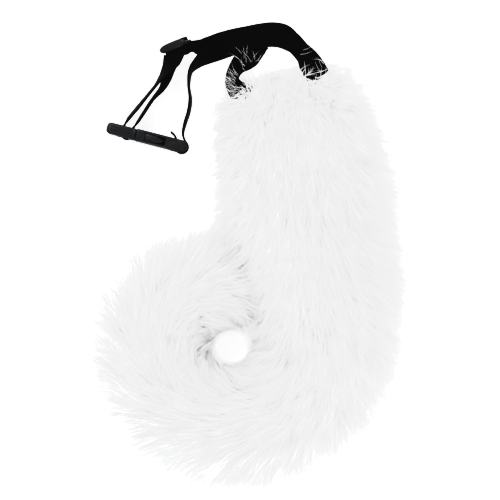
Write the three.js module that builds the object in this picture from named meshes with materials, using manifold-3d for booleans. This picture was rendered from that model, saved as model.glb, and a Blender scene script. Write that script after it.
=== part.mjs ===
// A plush costume tail on a webbing waist belt, lying on a floor with its end curled in a ring.
// Millimetres, +Z up. +Y runs from the tail's bend to its head, where the belt passes through it, and the
// origin is the middle of the whole footprint, on the floor.
import * as THREE from "three";
import { mergeVertices } from "three/addons/utils/BufferGeometryUtils.js";
import Module from "manifold-3d";

const wasm = await Module();
wasm.setup();

// Clear spaces
const GAP = 0.35; // between pieces that touch on the real thing
const FLOOR_GAP = 0.2; // under the webbing that lies on the floor

// Tail: the stuffed core's middle line, its girth, and the fur's locks
const SPINE_SPREAD = 172; // across X, from the curl's far side to the bend's far side
const SPINE_REACH = 340; // along Y, from the bend's lowest point to the head
const CORE_WIDTH = 124;
const CORE_HEIGHT = 84;
const CORE_SIT = 0.44; // share of a section's height at which it is widest
const CORE_SIDES = 12;
const CORE_STEPS = 2; // sections for each row of the table
const LOCK_LENGTH = 37;
const LOCK_WIDTH = 42;
const LOCK_SIDES = 4;
const LOCK_FLATNESS = 0.62; // a lock's thickness as a share of its width
const LOCK_SPACING = 31; // between rings of locks, along the tail
const LOCKS_ROUND = 5; // in every second ring, and one more in the rings between
const LOCK_LOWEST = -36; // degrees round the core at which the lowest locks stand
const LOCK_STAGGER = 5; // degrees round the core that a lock is scattered by
const LOCK_LEAN = 42; // degrees that a lock at the side leans to the tip
const LOCK_TOP_LEAN = 14; // degrees more that one on top leans
const LOCK_LEAN_SCATTER = 8;
const LOCK_LENGTH_SCATTER = 0.1; // share of its length
const LOCK_TOP_SHORTER = 0.2; // share by which a lock on top is shorter
const LOCK_SWEEP = 0.12; // share of its length that a lock bends to the tip
const LOCK_DROOP = 0.14; // share of its length that it sinks
const HEAD_SHARE = 0.07; // share of the tail's length where the fur turns back to the head
const HEAD_SHORTER = 0.45; // share by which the locks at the very head are shorter
const HEAD_TURN = 2.1; // share of the lean that is taken off there
const CURL_FROM = 0.45; // share of the tail's length where the curl begins
const CURL_NEAR = 0.66; // two opposite places of the curl, as shares of the spine's rows
const CURL_FAR = 0.88;
const CURL_REACH = 0.5; // length of the locks inside the curl, as a share of the others'

// Webbing
const WEBBING_WIDTH = 25;
const WEBBING_THICKNESS = 1.5;
const LAYER_PITCH = 2.2; // from one layer of folded webbing to the next
const BELT_SPREAD = 181; // across X, from the buckle's far end to the tail's middle
const BELT_REACH = 79; // along Y, from the belt's crossing of the tail to the flat band's far edge
const BELT_STEPS = 3; // sections for each row of the tables

// Buckle, standing on its long edge
const BUCKLE_WIDTH = 33;
const BUCKLE_THICKNESS = 12.6;
const BUCKLE_TURN = -14.4; // degrees that its length is turned from X
const BUCKLE_EDGE = 1.2; // bevel along the housing's long edges
const CORNER_FACETS = 4; // of each rounded corner
const BAR_FACETS = 12;
const PLUG_CORNER = 4;
const PLUG_EDGE = 0.6; // bevel along the plug's edges
const PLUG_END_ROUND = 4.6; // of its free end, through its thickness
const HOUSING_CORNER = 3.4;
const PLUG_THICKNESS = 11.6;
const PLUG_BAR_FROM_END = 20.4; // from the plug's end to its bar
const PLUG_BAR_DROP = 1.6; // how far the plug's bar lies towards its outer face
const PLUG_BASE_LENGTH = 30;
const HOUSING_LENGTH = 53;
const PLUG_BAR_RADIUS = 3.6;
const HOUSING_BAR_RADIUS = 5.2;
const HOUSING_WALL = 2.6;
const SLOT_OPENING = 5; // width of each slot that webbing passes through
const WINDOW_START = 9; // from the housing's mouth to its windows
const WINDOW_LENGTH = 21;
const WINDOW_HEIGHT = 7.8;
const ARM_WIDTH = 3.2;
const ARM_THICKNESS = 6.8;
const ARM_POINT = 0.96; // width of an arm's pointed end
const ARM_TAPER = 0.55; // share of the window's length at which an arm begins to taper
const TONGUE_WIDTH = 7;
const TONGUE_LENGTH = 29;

// Slider
const SLIDER_THICKNESS = 3.6;
const SLIDER_EDGE = 0.8; // bevel along its outline
const SLIDER_CORNER = 3.2;
const SLIDER_BAR = 2.2; // its two long outer bars
const SLIDER_CENTRE_BAR = 3;
const SLIDER_SLOT = 4.2;
const SLIDER_RAIL = 2.2; // its two short ends
const SLIDER_TURN = 20.7; // degrees that its length is turned from X
const SLIDER_TILT = 30; // degrees that its length rises to the right

// The core's middle line from the head to the tip. across and along are shares of SPINE_SPREAD and
// SPINE_REACH, breadth and height of CORE_WIDTH and CORE_HEIGHT.
const SPINE = [
  { across: 0.767, along: 1.0, breadth: 0.6, height: 0.42 },
  { across: 0.773, along: 0.982, breadth: 0.77, height: 0.52 },
  { across: 0.791, along: 0.941, breadth: 0.87, height: 0.64 },
  { across: 0.82, along: 0.876, breadth: 0.93, height: 0.8 },
  { across: 0.849, along: 0.779, breadth: 0.98, height: 0.95 },
  { across: 0.878, along: 0.662, breadth: 1.0, height: 1.0 },
  { across: 0.913, along: 0.515, breadth: 0.95, height: 1.0 },
  { across: 0.965, along: 0.368, breadth: 0.87, height: 0.97 },
  { across: 1.0, along: 0.235, breadth: 0.82, height: 0.95 },
  { across: 0.936, along: 0.118, breadth: 0.76, height: 0.92 },
  { across: 0.785, along: 0.035, breadth: 0.68, height: 0.88 },
  { across: 0.523, along: 0.0, breadth: 0.6, height: 0.84 },
  { across: 0.262, along: 0.026, breadth: 0.58, height: 0.8 },
  { across: 0.087, along: 0.1, breadth: 0.565, height: 0.78 },
  { across: 0.023, along: 0.206, breadth: 0.55, height: 0.76 },
  { across: 0.064, along: 0.303, breadth: 0.52, height: 0.74 },
  { across: 0.192, along: 0.365, breadth: 0.47, height: 0.7 },
  { across: 0.36, along: 0.385, breadth: 0.43, height: 0.66 },
  { across: 0.5, along: 0.388, breadth: 0.33, height: 0.54 },
  { across: 0.568, along: 0.388, breadth: 0.14, height: 0.32 },
];
const CROSSING_ROW = 2; // the spine's row that the belt crosses at

// The belt's route. across and along are shares of BELT_SPREAD and BELT_REACH from the crossing, tilt is
// how far the webbing's left side is raised in degrees, layer counts layers of webbing under it, and lift
// is a share of the height at which it passes through the tail.
const FROM_SLIDER = [
  { across: -0.563, along: 0.617, tilt: 42, layer: 0, lift: 0 },
  { across: -0.535, along: 0.636, tilt: 62, layer: 0, lift: 0 },
  { across: -0.508, along: 0.671, tilt: 68, layer: 0, lift: 0 },
  { across: -0.486, along: 0.69, tilt: 58, layer: 0, lift: 0 },
  { across: -0.425, along: 0.696, tilt: 35, layer: 0, lift: 0 },
  { across: -0.359, along: 0.728, tilt: 13, layer: 0, lift: 0 },
  { across: -0.287, along: 0.772, tilt: 0, layer: 0, lift: 0 },
  { across: -0.221, along: 0.802, tilt: 0, layer: 0, lift: 0 },
];
const UNDER_FOLD = { across: -0.146, along: 0.812, layer: 0, lift: 0, heading: 3, leaves: -120 };
const TO_TAIL = [
  { across: -0.182, along: 0.671, tilt: 0, layer: 1, lift: 0 },
  { across: -0.215, along: 0.551, tilt: 10, layer: 1, lift: 0 },
  { across: -0.254, along: 0.437, tilt: 36, layer: 1, lift: 0.1 },
  { across: -0.287, along: 0.329, tilt: 56, layer: 1, lift: 0.3 },
  { across: -0.296, along: 0.215, tilt: 56, layer: 1, lift: 0.45 },
  { across: -0.265, along: 0.114, tilt: 38, layer: 1, lift: 0.7 },
  { across: -0.199, along: 0.057, tilt: 14, layer: 1, lift: 0.92 },
  { across: -0.11, along: 0.063, tilt: 0, layer: 1, lift: 1 },
  { across: -0.006, along: 0.089, tilt: 0, layer: 1, lift: 1 },
  { across: 0.105, along: 0.12, tilt: 0, layer: 1, lift: 1 },
];
const TAIL_FOLD = { across: 0.204, along: 0.15, layer: 1, lift: 1, heading: 7, leaves: 119 };
const FROM_TAIL = [
  { across: 0.177, along: 0.297, tilt: 0, layer: 2, lift: 1.04 },
  { across: 0.138, along: 0.449, tilt: -12, layer: 2, lift: 0.87 },
  { across: 0.093, along: 0.605, tilt: -48, layer: 1.5, lift: 0.22 },
  { across: 0.042, along: 0.742, tilt: -44, layer: 1, lift: 0.02 },
  { across: -0.017, along: 0.83, tilt: -14, layer: 1, lift: 0 },
  { across: -0.077, along: 0.85, tilt: 0, layer: 2.4, lift: 0 },
  { across: -0.149, along: 0.83, tilt: 0, layer: 2.5, lift: 0 },
  { across: -0.221, along: 0.795, tilt: 0, layer: 2.4, lift: 0 },
  { across: -0.298, along: 0.741, tilt: -3, layer: 2.3, lift: 0 },
  { across: -0.37, along: 0.671, tilt: -24, layer: 1.3, lift: 0 },
  { across: -0.436, along: 0.582, tilt: -50, layer: 0.8, lift: 0 },
  { across: -0.483, along: 0.5, tilt: -68, layer: 0, lift: 0 },
  { across: -0.528, along: 0.386, tilt: -82, layer: 0, lift: 0 },
  { across: -0.539, along: 0.203, tilt: -90, layer: 0, lift: 0.02 },
  { across: -0.53, along: 0.025, tilt: -90, layer: 0, lift: 0.06 },
  { across: -0.539, along: -0.139, tilt: -90, layer: 0, lift: 0.11 },
  { across: -0.561, along: -0.304, tilt: -90, layer: 0, lift: 0.15 },
];
const SLIDER_AT = { across: -0.606, along: 0.692 };
const BUCKLE_AT = { across: -0.768, along: -0.475 };

// The adjusting strands between the slider and the plug. up is a share of the buckle's half width.
const RIGHT_STRAND = [
  { across: -0.613, along: 0.5, tilt: 42, up: 0.98 },
  { across: -0.635, along: 0.39, tilt: 52, up: 1 },
  { across: -0.666, along: 0.278, tilt: 62, up: 1 },
  { across: -0.704, along: 0.158, tilt: 70, up: 1 },
  { across: -0.746, along: 0.019, tilt: 76, up: 1 },
  { across: -0.784, along: -0.139, tilt: 82, up: 1 },
  { across: -0.817, along: -0.266, tilt: 88, up: 1 },
];
const LEFT_STRAND = [
  { across: -0.872, along: -0.228, tilt: 94, up: 1 },
  { across: -0.818, along: -0.089, tilt: 101, up: 1 },
  { across: -0.762, along: 0.07, tilt: 108, up: 1 },
  { across: -0.713, along: 0.196, tilt: 115, up: 1 },
  { across: -0.679, along: 0.31, tilt: 122, up: 1.03 },
  { across: -0.652, along: 0.42, tilt: 131, up: 1.08 },
  { across: -0.632, along: 0.52, tilt: 140, up: 1.12 },
];

// The webbing's passes of the slider's centre bar. up and out are shares of how far one layer, or the
// second of two, lies from the bar's middle and from the slider's middle plane, and exact rows aren't
// smoothed.
const SEWN_END = [
  { up: -0.25, out: 1.1, exact: true },
  { up: -0.7, out: 0.97, exact: true },
  { up: -1, out: 0.4, exact: true },
  { up: -1, out: -0.62, exact: true },
  { up: -0.8, out: -1, exact: true },
  { up: 0.8, out: -1, exact: true },
  { up: 1, out: -0.62, exact: true },
  { up: 1, out: 0.6, exact: true },
  { up: 1.08, out: 1.4, exact: false },
];
const INTO_SLIDER = [
  { up: 1.16, out: 1.04, exact: false },
  { up: 1, out: 0.37, exact: true },
  { up: 1, out: -0.31, exact: true },
  { up: 0.85, out: -1, exact: true },
  { up: 0.4, out: -1, exact: true },
  { up: 0.04, out: -1, exact: true },
];
const OUT_OF_SLIDER = [
  { up: -0.04, out: -1, exact: true },
  { up: -0.4, out: -1, exact: true },
  { up: -0.85, out: -1, exact: true },
  { up: -1, out: -0.31, exact: true },
  { up: -1, out: 0.37, exact: true },
  { up: -1.045, out: 0.79, exact: false },
];

// The sewn turn round the housing's bar: degrees round it, and the places before and after it, where
// back and aside are shares of the turn's radius.
const TURN_FROM = 62;
const TURN_TO = -186;
const TURN_STEP = 22; // degrees between the sections that go round a bar
const BEFORE_TURN = [{ back: 0.25, aside: 1.9 }];
const SEWN_TAB = [
  { back: 1.05, aside: 0.75 },
  { back: 1.5, aside: 1.45 },
  { back: 2.2, aside: 1.85 },
];

const UP = new THREE.Vector3(0, 0, 1);
const rad = THREE.MathUtils.degToRad;
const headingVector = (degrees) => new THREE.Vector3(Math.cos(rad(degrees)), Math.sin(rad(degrees)), 0);

// Solids

// A closed geometry as a solid that can be joined and cut.
function solidOf(geometry, matrix = new THREE.Matrix4()) {
  const bare = geometry.index ? geometry.toNonIndexed() : geometry.clone();
  bare.deleteAttribute("normal");
  bare.deleteAttribute("uv");
  const merged = mergeVertices(bare.applyMatrix4(matrix), 1e-4);
  const mesh = new wasm.Mesh({
    numProp: 3,
    vertProperties: merged.attributes.position.array,
    triVerts: new Uint32Array(merged.index.array),
  });
  return new wasm.Manifold(mesh);
}

function geometryOf(solid) {
  const mesh = solid.getMesh();
  const geometry = new THREE.BufferGeometry();
  geometry.setAttribute("position", new THREE.BufferAttribute(new Float32Array(mesh.vertProperties), 3));
  geometry.setIndex(new THREE.BufferAttribute(new Uint32Array(mesh.triVerts), 1));
  geometry.computeVertexNormals();
  return geometry;
}

// The outer skin of a solid whose joined parts left closed pockets inside, so the pockets are filled.
function withoutPockets(solid) {
  const mesh = solid.getMesh();
  const group = Array.from({ length: mesh.numVert }, (_, vertex) => vertex);
  const groupOf = (vertex) => {
    let top = vertex;
    while (group[top] !== top) {
      group[top] = group[group[top]];
      top = group[top];
    }
    return top;
  };
  for (let corner = 0; corner < mesh.triVerts.length; corner += 3) {
    const top = groupOf(mesh.triVerts[corner]);
    group[groupOf(mesh.triVerts[corner + 1])] = top;
    group[groupOf(mesh.triVerts[corner + 2])] = top;
  }
  const sizes = new Map();
  for (const vertex of mesh.triVerts) sizes.set(groupOf(vertex), (sizes.get(groupOf(vertex)) || 0) + 1);
  const largest = [...sizes].sort((one, other) => other[1] - one[1])[0][0];
  const kept = [];
  for (let corner = 0; corner < mesh.triVerts.length; corner += 3) {
    const triangle = mesh.triVerts.subarray(corner, corner + 3);
    if (groupOf(triangle[0]) === largest) kept.push(...triangle);
  }
  const geometry = new THREE.BufferGeometry();
  geometry.setAttribute("position", new THREE.BufferAttribute(new Float32Array(mesh.vertProperties), 3));
  geometry.setIndex(kept);
  return solidOf(geometry);
}

function box(sizeX, sizeY, sizeZ, x, y, z) {
  return solidOf(new THREE.BoxGeometry(sizeX, sizeY, sizeZ).translate(x, y, z));
}

// A skin over equal rings of points, closed by a fan at each end. Rings run anticlockwise when seen from
// the end that the skin runs to.
function ringSolid(rings) {
  const sides = rings[0].length;
  const middle = (ring) =>
    ring.reduce((sum, point) => sum.add(point), new THREE.Vector3()).divideScalar(ring.length);
  const points = [...rings.flat(), middle(rings[0]), middle(rings[rings.length - 1])];
  const triangles = [];
  for (let ring = 0; ring + 1 < rings.length; ring += 1) {
    for (let side = 0; side < sides; side += 1) {
      const a = ring * sides + side;
      const b = ring * sides + ((side + 1) % sides);
      triangles.push(a, b, b + sides, a, b + sides, a + sides);
    }
  }
  const first = rings.length * sides;
  const lastRing = (rings.length - 1) * sides;
  for (let side = 0; side < sides; side += 1) {
    const next = (side + 1) % sides;
    triangles.push(first, next, side, first + 1, lastRing + side, lastRing + next);
  }
  const geometry = new THREE.BufferGeometry().setFromPoints(points);
  geometry.setIndex(triangles);
  return solidOf(geometry);
}

// Tail

const spineCurve = (column) =>
  new THREE.CatmullRomCurve3(SPINE.map((row) => new THREE.Vector3(...column(row))), false, "centripetal");
const spineLine = spineCurve((row) => [row.across * SPINE_SPREAD, row.along * SPINE_REACH, 0]);
const spineGirth = spineCurve((row) => [(row.breadth * CORE_WIDTH) / 2, row.height * CORE_HEIGHT, 0]);

// The core's frame at a share of its rows: middle, direction to the tip, left side, half width and height.
function coreAt(share) {
  const forward = spineLine.getTangent(share).setZ(0).normalize();
  const girth = spineGirth.getPoint(share);
  return {
    middle: spineLine.getPoint(share),
    forward,
    left: UP.clone().cross(forward),
    halfWidth: girth.x,
    height: girth.y,
  };
}

// A point of a section at an angle that is 0 on the right side and 90 on top, flat where it would sink.
function corePoint(core, angle) {
  const rise = CORE_SIT + (1 - CORE_SIT) * Math.sin(angle);
  return core.middle
    .clone()
    .addScaledVector(core.left, -core.halfWidth * Math.cos(angle))
    .setZ(core.height * Math.max(0, rise));
}

function tailCore() {
  const steps = (SPINE.length - 1) * CORE_STEPS;
  const rings = [];
  for (let step = 0; step <= steps; step += 1) {
    const core = coreAt(step / steps);
    const ring = [];
    for (let side = 0; side < CORE_SIDES; side += 1) {
      const angle = ((side + 0.5) / CORE_SIDES) * 2 * Math.PI - Math.PI / 2;
      ring.push(corePoint(core, Math.PI - angle));
    }
    rings.push(ring);
  }
  return ringSolid(rings);
}

// A lock's sections. out is a share of its length from the skin, size of its width.
const LOCK_ROWS = [
  { out: -0.2, size: 0.84 },
  { out: 0.62, size: 0.84 },
  { out: 1, size: 0.24 },
];

// One curved lock: rings along a bent middle line, from inside the core to a blunt point.
function lock(root, direction, bend, length, width) {
  const across = new THREE.Vector3().crossVectors(direction, UP);
  across.normalize();
  const rings = LOCK_ROWS.map((row) => {
    const middle = root
      .clone()
      .addScaledVector(direction, row.out * length)
      .addScaledVector(bend, row.out * Math.abs(row.out) * length);
    const along = direction.clone().addScaledVector(bend, 2 * Math.abs(row.out)).normalize();
    const thick = new THREE.Vector3().crossVectors(along, across).normalize();
    const ring = [];
    for (let side = 0; side < LOCK_SIDES; side += 1) {
      const angle = (side / LOCK_SIDES) * 2 * Math.PI;
      ring.push(
        middle
          .clone()
          .addScaledVector(across, (Math.cos(angle) * row.size * width) / 2)
          .addScaledVector(thick, (Math.sin(angle) * row.size * width * LOCK_FLATNESS) / 2),
      );
    }
    return ring;
  });
  return ringSolid(rings);
}

// A repeatable scatter between -1 and 1 for a lock's number.
const scatter = (number, seed) => Math.sin(number * 12.9898 + seed * 78.233);

// The stuffed core with rings of locks along it, which lean to the tip and stand off it sideways.
function furTail(beltRoom) {
  let tail = tailCore();
  const rings = Math.round(spineLine.getLength() / LOCK_SPACING);
  const curlMiddle = spineLine.getPoint(CURL_NEAR).lerp(spineLine.getPoint(CURL_FAR), 0.5);
  let number = 0;
  for (let ring = 0; ring <= rings; ring += 1) {
    const distance = ring / rings;
    const core = coreAt(spineLine.getUtoTmapping(distance));
    const count = LOCKS_ROUND + (ring % 2);
    for (let place = 0; place < count; place += 1) {
      number += 1;
      const spread = ring % 2 ? place / (count - 1) : (place + 0.5) / count;
      const degrees = LOCK_LOWEST + (180 - 2 * LOCK_LOWEST) * spread;
      const angle = rad(degrees + LOCK_STAGGER * scatter(number, 1));
      tail = tail.add(furLock(core, angle, distance, number, curlMiddle));
    }
  }
  const extent = 4 * SPINE_REACH;
  const onFloor = tail.intersect(box(extent, extent, extent, 0, 0, extent / 2));
  return withoutPockets(onFloor.subtract(beltRoom));
}

// A lock on the core at an angle round it. Locks at the head turn back to it, and those in the curl's ring
// are short, which leaves its middle open.
function furLock(core, angle, distance, number, curlMiddle) {
  const skin = corePoint(core, angle);
  const outward = core.left
    .clone()
    .multiplyScalar(-Math.cos(angle) / core.halfWidth)
    .addScaledVector(UP, Math.sin(angle) / (core.height / 2))
    .normalize();
  const headward = Math.max(0, 1 - distance / HEAD_SHARE);
  const leaning = LOCK_LEAN + LOCK_TOP_LEAN * Math.sin(angle) + LOCK_LEAN_SCATTER * scatter(number, 2);
  const lean = rad(leaning) * (1 - HEAD_TURN * headward);
  const direction = outward
    .clone()
    .multiplyScalar(Math.cos(lean))
    .addScaledVector(core.forward, Math.sin(lean))
    .normalize();
  direction.z = Math.max(direction.z, -skin.z / LOCK_LENGTH);
  const inward = skin.distanceTo(curlMiddle) < core.middle.distanceTo(curlMiddle);
  const sideways = Math.abs(Math.cos(angle)) > Math.abs(Math.sin(angle)) / 2;
  const inCurl = distance > CURL_FROM && inward && sideways;
  const reach = inCurl ? CURL_REACH : 1 - LOCK_TOP_SHORTER * Math.sin(angle);
  const scattered = 1 + LOCK_LENGTH_SCATTER * scatter(number, 3);
  const length = LOCK_LENGTH * reach * (1 - HEAD_SHORTER * headward) * scattered;
  const bend = core.forward.clone().multiplyScalar(LOCK_SWEEP).addScaledVector(UP, -LOCK_DROOP);
  const width = Math.min(LOCK_WIDTH, core.halfWidth);
  return lock(skin, direction.normalize(), bend, length, width);
}

// Webbing

const crossing = spineLine.getPoint(CROSSING_ROW / (SPINE.length - 1));
const crossingHeight = SPINE[CROSSING_ROW].height * CORE_HEIGHT * CORE_SIT;
const beltPoint = (row) =>
  new THREE.Vector3(crossing.x + row.across * BELT_SPREAD, crossing.y + row.along * BELT_REACH, 0);

// Height of a strap's middle that keeps its lower edge off the floor, on the layers under it.
function strapHeight(row) {
  const slope = Math.abs(Math.sin(rad(row.tilt || 0)));
  const resting = FLOOR_GAP + WEBBING_THICKNESS / 2 + (WEBBING_WIDTH / 2) * slope;
  return resting + row.layer * LAYER_PITCH + row.lift * (crossingHeight - LAYER_PITCH);
}

// Stations of a run: each has its middle, its width direction and how much longer than the webbing's
// width its section is. turned is -1 after an odd number of folds.
function runStations(points, tilts, turned) {
  return points.map((point, index) => {
    const before = points[Math.max(0, index - 1)];
    const after = points[Math.min(points.length - 1, index + 1)];
    const forward = after.clone().sub(before).normalize();
    const side = UP.clone().cross(forward).normalize();
    const over = forward.clone().cross(side);
    const tilt = rad(tilts[index]);
    const width = side.multiplyScalar(Math.cos(tilt)).addScaledVector(over, Math.sin(tilt));
    return { point, width: width.multiplyScalar(turned), stretch: 1 };
  });
}

function beltRun(rows, turned) {
  const points = rows.map((row) => beltPoint(row).setZ(strapHeight(row)));
  return runStations(
    points,
    rows.map((row) => row.tilt),
    turned,
  );
}

// A mitred fold: the webbing turns over a crease that halves the angle between its two headings.
function foldStations(row, turned) {
  const crease = headingVector((row.heading + row.leaves) / 2);
  const side = headingVector(row.heading + 90).multiplyScalar(turned);
  if (crease.dot(side) < 0) crease.negate();
  const out = headingVector(row.heading).addScaledVector(crease, -headingVector(row.heading).dot(crease));
  out.normalize();
  const stretch = 1 / Math.abs(crease.dot(side));
  const middle = beltPoint(row).setZ(strapHeight({ ...row, tilt: 0 }) + LAYER_PITCH / 2);
  return [-90, -45, 0, 45, 90].map((turn) => ({
    point: middle
      .clone()
      .addScaledVector(out, (Math.cos(rad(turn)) * LAYER_PITCH) / 2)
      .addScaledVector(UP, (Math.sin(rad(turn)) * LAYER_PITCH) / 2),
    width: crease.clone(),
    stretch,
    exact: true,
  }));
}

// Stations filled in between, along a smooth line through them, but as they are round a fold or a bar.
function fillStations(stations, steps) {
  const last = stations.length - 1;
  const line = new THREE.CatmullRomCurve3(stations.map((s) => s.point), false, "centripetal");
  const filled = [];
  stations.forEach((station, index) => {
    filled.push(station);
    if (index === last || (station.exact && stations[index + 1].exact)) return;
    const next = stations[index + 1];
    for (let step = 1; step < steps; step += 1) {
      const share = step / steps;
      filled.push({
        point: line.getPoint((index + share) / last),
        width: station.width.clone().lerp(next.width, share).normalize(),
        stretch: THREE.MathUtils.lerp(station.stretch, next.stretch, share),
      });
    }
  });
  return filled;
}

// A station raised until the webbing's lower edge clears the floor.
function offFloor(station) {
  const lowest = FLOOR_GAP + (WEBBING_THICKNESS + WEBBING_WIDTH * Math.abs(station.width.z)) / 2;
  return { ...station, point: station.point.clone().setZ(Math.max(station.point.z, lowest)) };
}

// Webbing carried along stations as a four-cornered section.
function webbing(stations, width, thickness) {
  const filled = fillStations(stations, BELT_STEPS).map(offFloor);
  const rings = filled.map((station, index) => {
    const before = filled[Math.max(0, index - 1)].point;
    const after = filled[Math.min(filled.length - 1, index + 1)].point;
    const normal = after.clone().sub(before).cross(station.width).normalize().multiplyScalar(thickness / 2);
    const edge = station.width.clone().multiplyScalar((station.stretch * width) / 2);
    return [
      [1, -1],
      [1, 1],
      [-1, 1],
      [-1, -1],
    ].map(([atEdge, atFace]) =>
      station.point.clone().addScaledVector(edge, atEdge).addScaledVector(normal, atFace),
    );
  });
  return ringSolid(rings);
}

// Buckle, in its own frame: X along its length from the plug's end, Y through its thickness, Z across its
// width, with the origin at its middle

const buckleMatrix = new THREE.Matrix4()
  .makeRotationZ(rad(BUCKLE_TURN))
  .setPosition(beltPoint(BUCKLE_AT).setZ(BUCKLE_WIDTH / 2 + FLOOR_GAP));
const buckleLength = PLUG_BASE_LENGTH + HOUSING_LENGTH + GAP;
const plugEnd = -buckleLength / 2;
const mouth = plugEnd + PLUG_BASE_LENGTH; // where the plug's base meets the housing
const housingEnd = buckleLength / 2;
const endRadius = BUCKLE_THICKNESS / 2;
const housingBar = housingEnd - endRadius;
const plugBar = plugEnd + PLUG_BAR_FROM_END;
const slotWidth = WEBBING_WIDTH + 2 * GAP;
const wrapRadius = (barRadius) => barRadius + GAP + WEBBING_THICKNESS / 2;

// A rounded rectangle as an outline.
function roundedOutline(left, right, bottom, top, radius) {
  const outline = new THREE.Shape();
  outline.moveTo(left + radius, bottom);
  outline.lineTo(right - radius, bottom);
  outline.absarc(right - radius, bottom + radius, radius, -Math.PI / 2, 0);
  outline.lineTo(right, top - radius);
  outline.absarc(right - radius, top - radius, radius, 0, Math.PI / 2);
  outline.lineTo(left + radius, top);
  outline.absarc(left + radius, top - radius, radius, Math.PI / 2, Math.PI);
  outline.lineTo(left, bottom + radius);
  outline.absarc(left + radius, bottom + radius, radius, Math.PI, 1.5 * Math.PI);
  return outline;
}

// A bevelled plate with its outline in XY, its middle plane at a height.
function plate(outline, thickness, bevel, middle, segments = CORNER_FACETS) {
  const geometry = new THREE.ExtrudeGeometry(outline, {
    depth: thickness - 2 * bevel,
    bevelEnabled: bevel > 0,
    bevelThickness: bevel,
    bevelSize: bevel,
    bevelOffset: -bevel,
    bevelSegments: 1,
    curveSegments: segments,
  });
  return geometry.translate(0, 0, middle - thickness / 2 + bevel);
}

// The same plate stood up, so that its outline lies in XZ and its thickness runs through Y.
const faceOn = (geometry) => solidOf(geometry.rotateX(Math.PI / 2));
// A bar across the width at a place in XY.
function crossBar(x, y, radius, length) {
  const bar = new THREE.CylinderGeometry(radius, radius, length, BAR_FACETS);
  return solidOf(bar.rotateX(Math.PI / 2).translate(x, y, 0));
}

function plug() {
  const half = BUCKLE_WIDTH / 2;
  const outline = roundedOutline(plugEnd, mouth, -half, half, PLUG_CORNER);
  const faces = faceOn(plate(outline, PLUG_THICKNESS, PLUG_EDGE, 0));
  const face = PLUG_THICKNESS / 2;
  const sideOutline = roundedOutline(plugEnd, mouth + PLUG_END_ROUND, -face, face, PLUG_END_ROUND);
  const base = faces.intersect(solidOf(plate(sideOutline, BUCKLE_WIDTH, 0, 0)));
  const slots = box(2 * (SLOT_OPENING + PLUG_BAR_RADIUS), 2 * BUCKLE_THICKNESS, slotWidth, plugBar, 0, 0);
  const bar = crossBar(plugBar, -PLUG_BAR_DROP, PLUG_BAR_RADIUS, slotWidth + 2 * GAP);
  const cavity = half - HOUSING_WALL;
  const tongueMiddle = mouth + TONGUE_LENGTH / 2 - GAP;
  const tongue = box(TONGUE_LENGTH, ARM_THICKNESS - 2 * GAP, TONGUE_WIDTH, tongueMiddle, 0, 0);
  let body = base.subtract(slots).add(bar).add(tongue);
  for (const side of [-1, 1]) body = body.add(plugArm(side, cavity - GAP));
  return body;
}

// A sprung arm: a slim bar along the cavity's wall, whose end swells out through the window to a button
// that tapers to a point.
function plugArm(side, outerWall) {
  const reach = mouth + WINDOW_START + WINDOW_LENGTH - 2 * GAP;
  const lobe = mouth + WINDOW_START + 2 * GAP;
  const buttonTop = BUCKLE_WIDTH / 2 - GAP;
  const outline = new THREE.Shape();
  outline.moveTo(mouth - 2 * GAP, outerWall - ARM_WIDTH);
  outline.lineTo(lobe, outerWall - ARM_WIDTH);
  outline.quadraticCurveTo(reach - ARM_WIDTH, outerWall - ARM_WIDTH, reach - GAP, outerWall - ARM_POINT);
  outline.lineTo(reach, outerWall + GAP);
  outline.quadraticCurveTo(reach - ARM_THICKNESS, buttonTop + 2 * GAP, lobe, buttonTop);
  outline.lineTo(lobe, outerWall);
  outline.lineTo(mouth - 2 * GAP, outerWall);
  const arm = faceOn(plate(outline, ARM_THICKNESS, 0, 0));
  const halfArm = ARM_THICKNESS / 2;
  const taperStart = lobe + ARM_TAPER * WINDOW_LENGTH;
  const taper = new THREE.Shape();
  taper.moveTo(mouth - ARM_WIDTH, -halfArm);
  taper.lineTo(taperStart, -halfArm);
  taper.lineTo(reach + GAP, -ARM_POINT / 2);
  taper.lineTo(reach + GAP, ARM_POINT / 2);
  taper.lineTo(taperStart, halfArm);
  taper.lineTo(mouth - ARM_WIDTH, halfArm);
  const pointed = solidOf(plate(taper, 2 * BUCKLE_WIDTH, 0, 0));
  const made = arm.intersect(pointed);
  return side > 0 ? made : solidOf(geometryOf(made), new THREE.Matrix4().makeRotationX(Math.PI));
}

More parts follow.
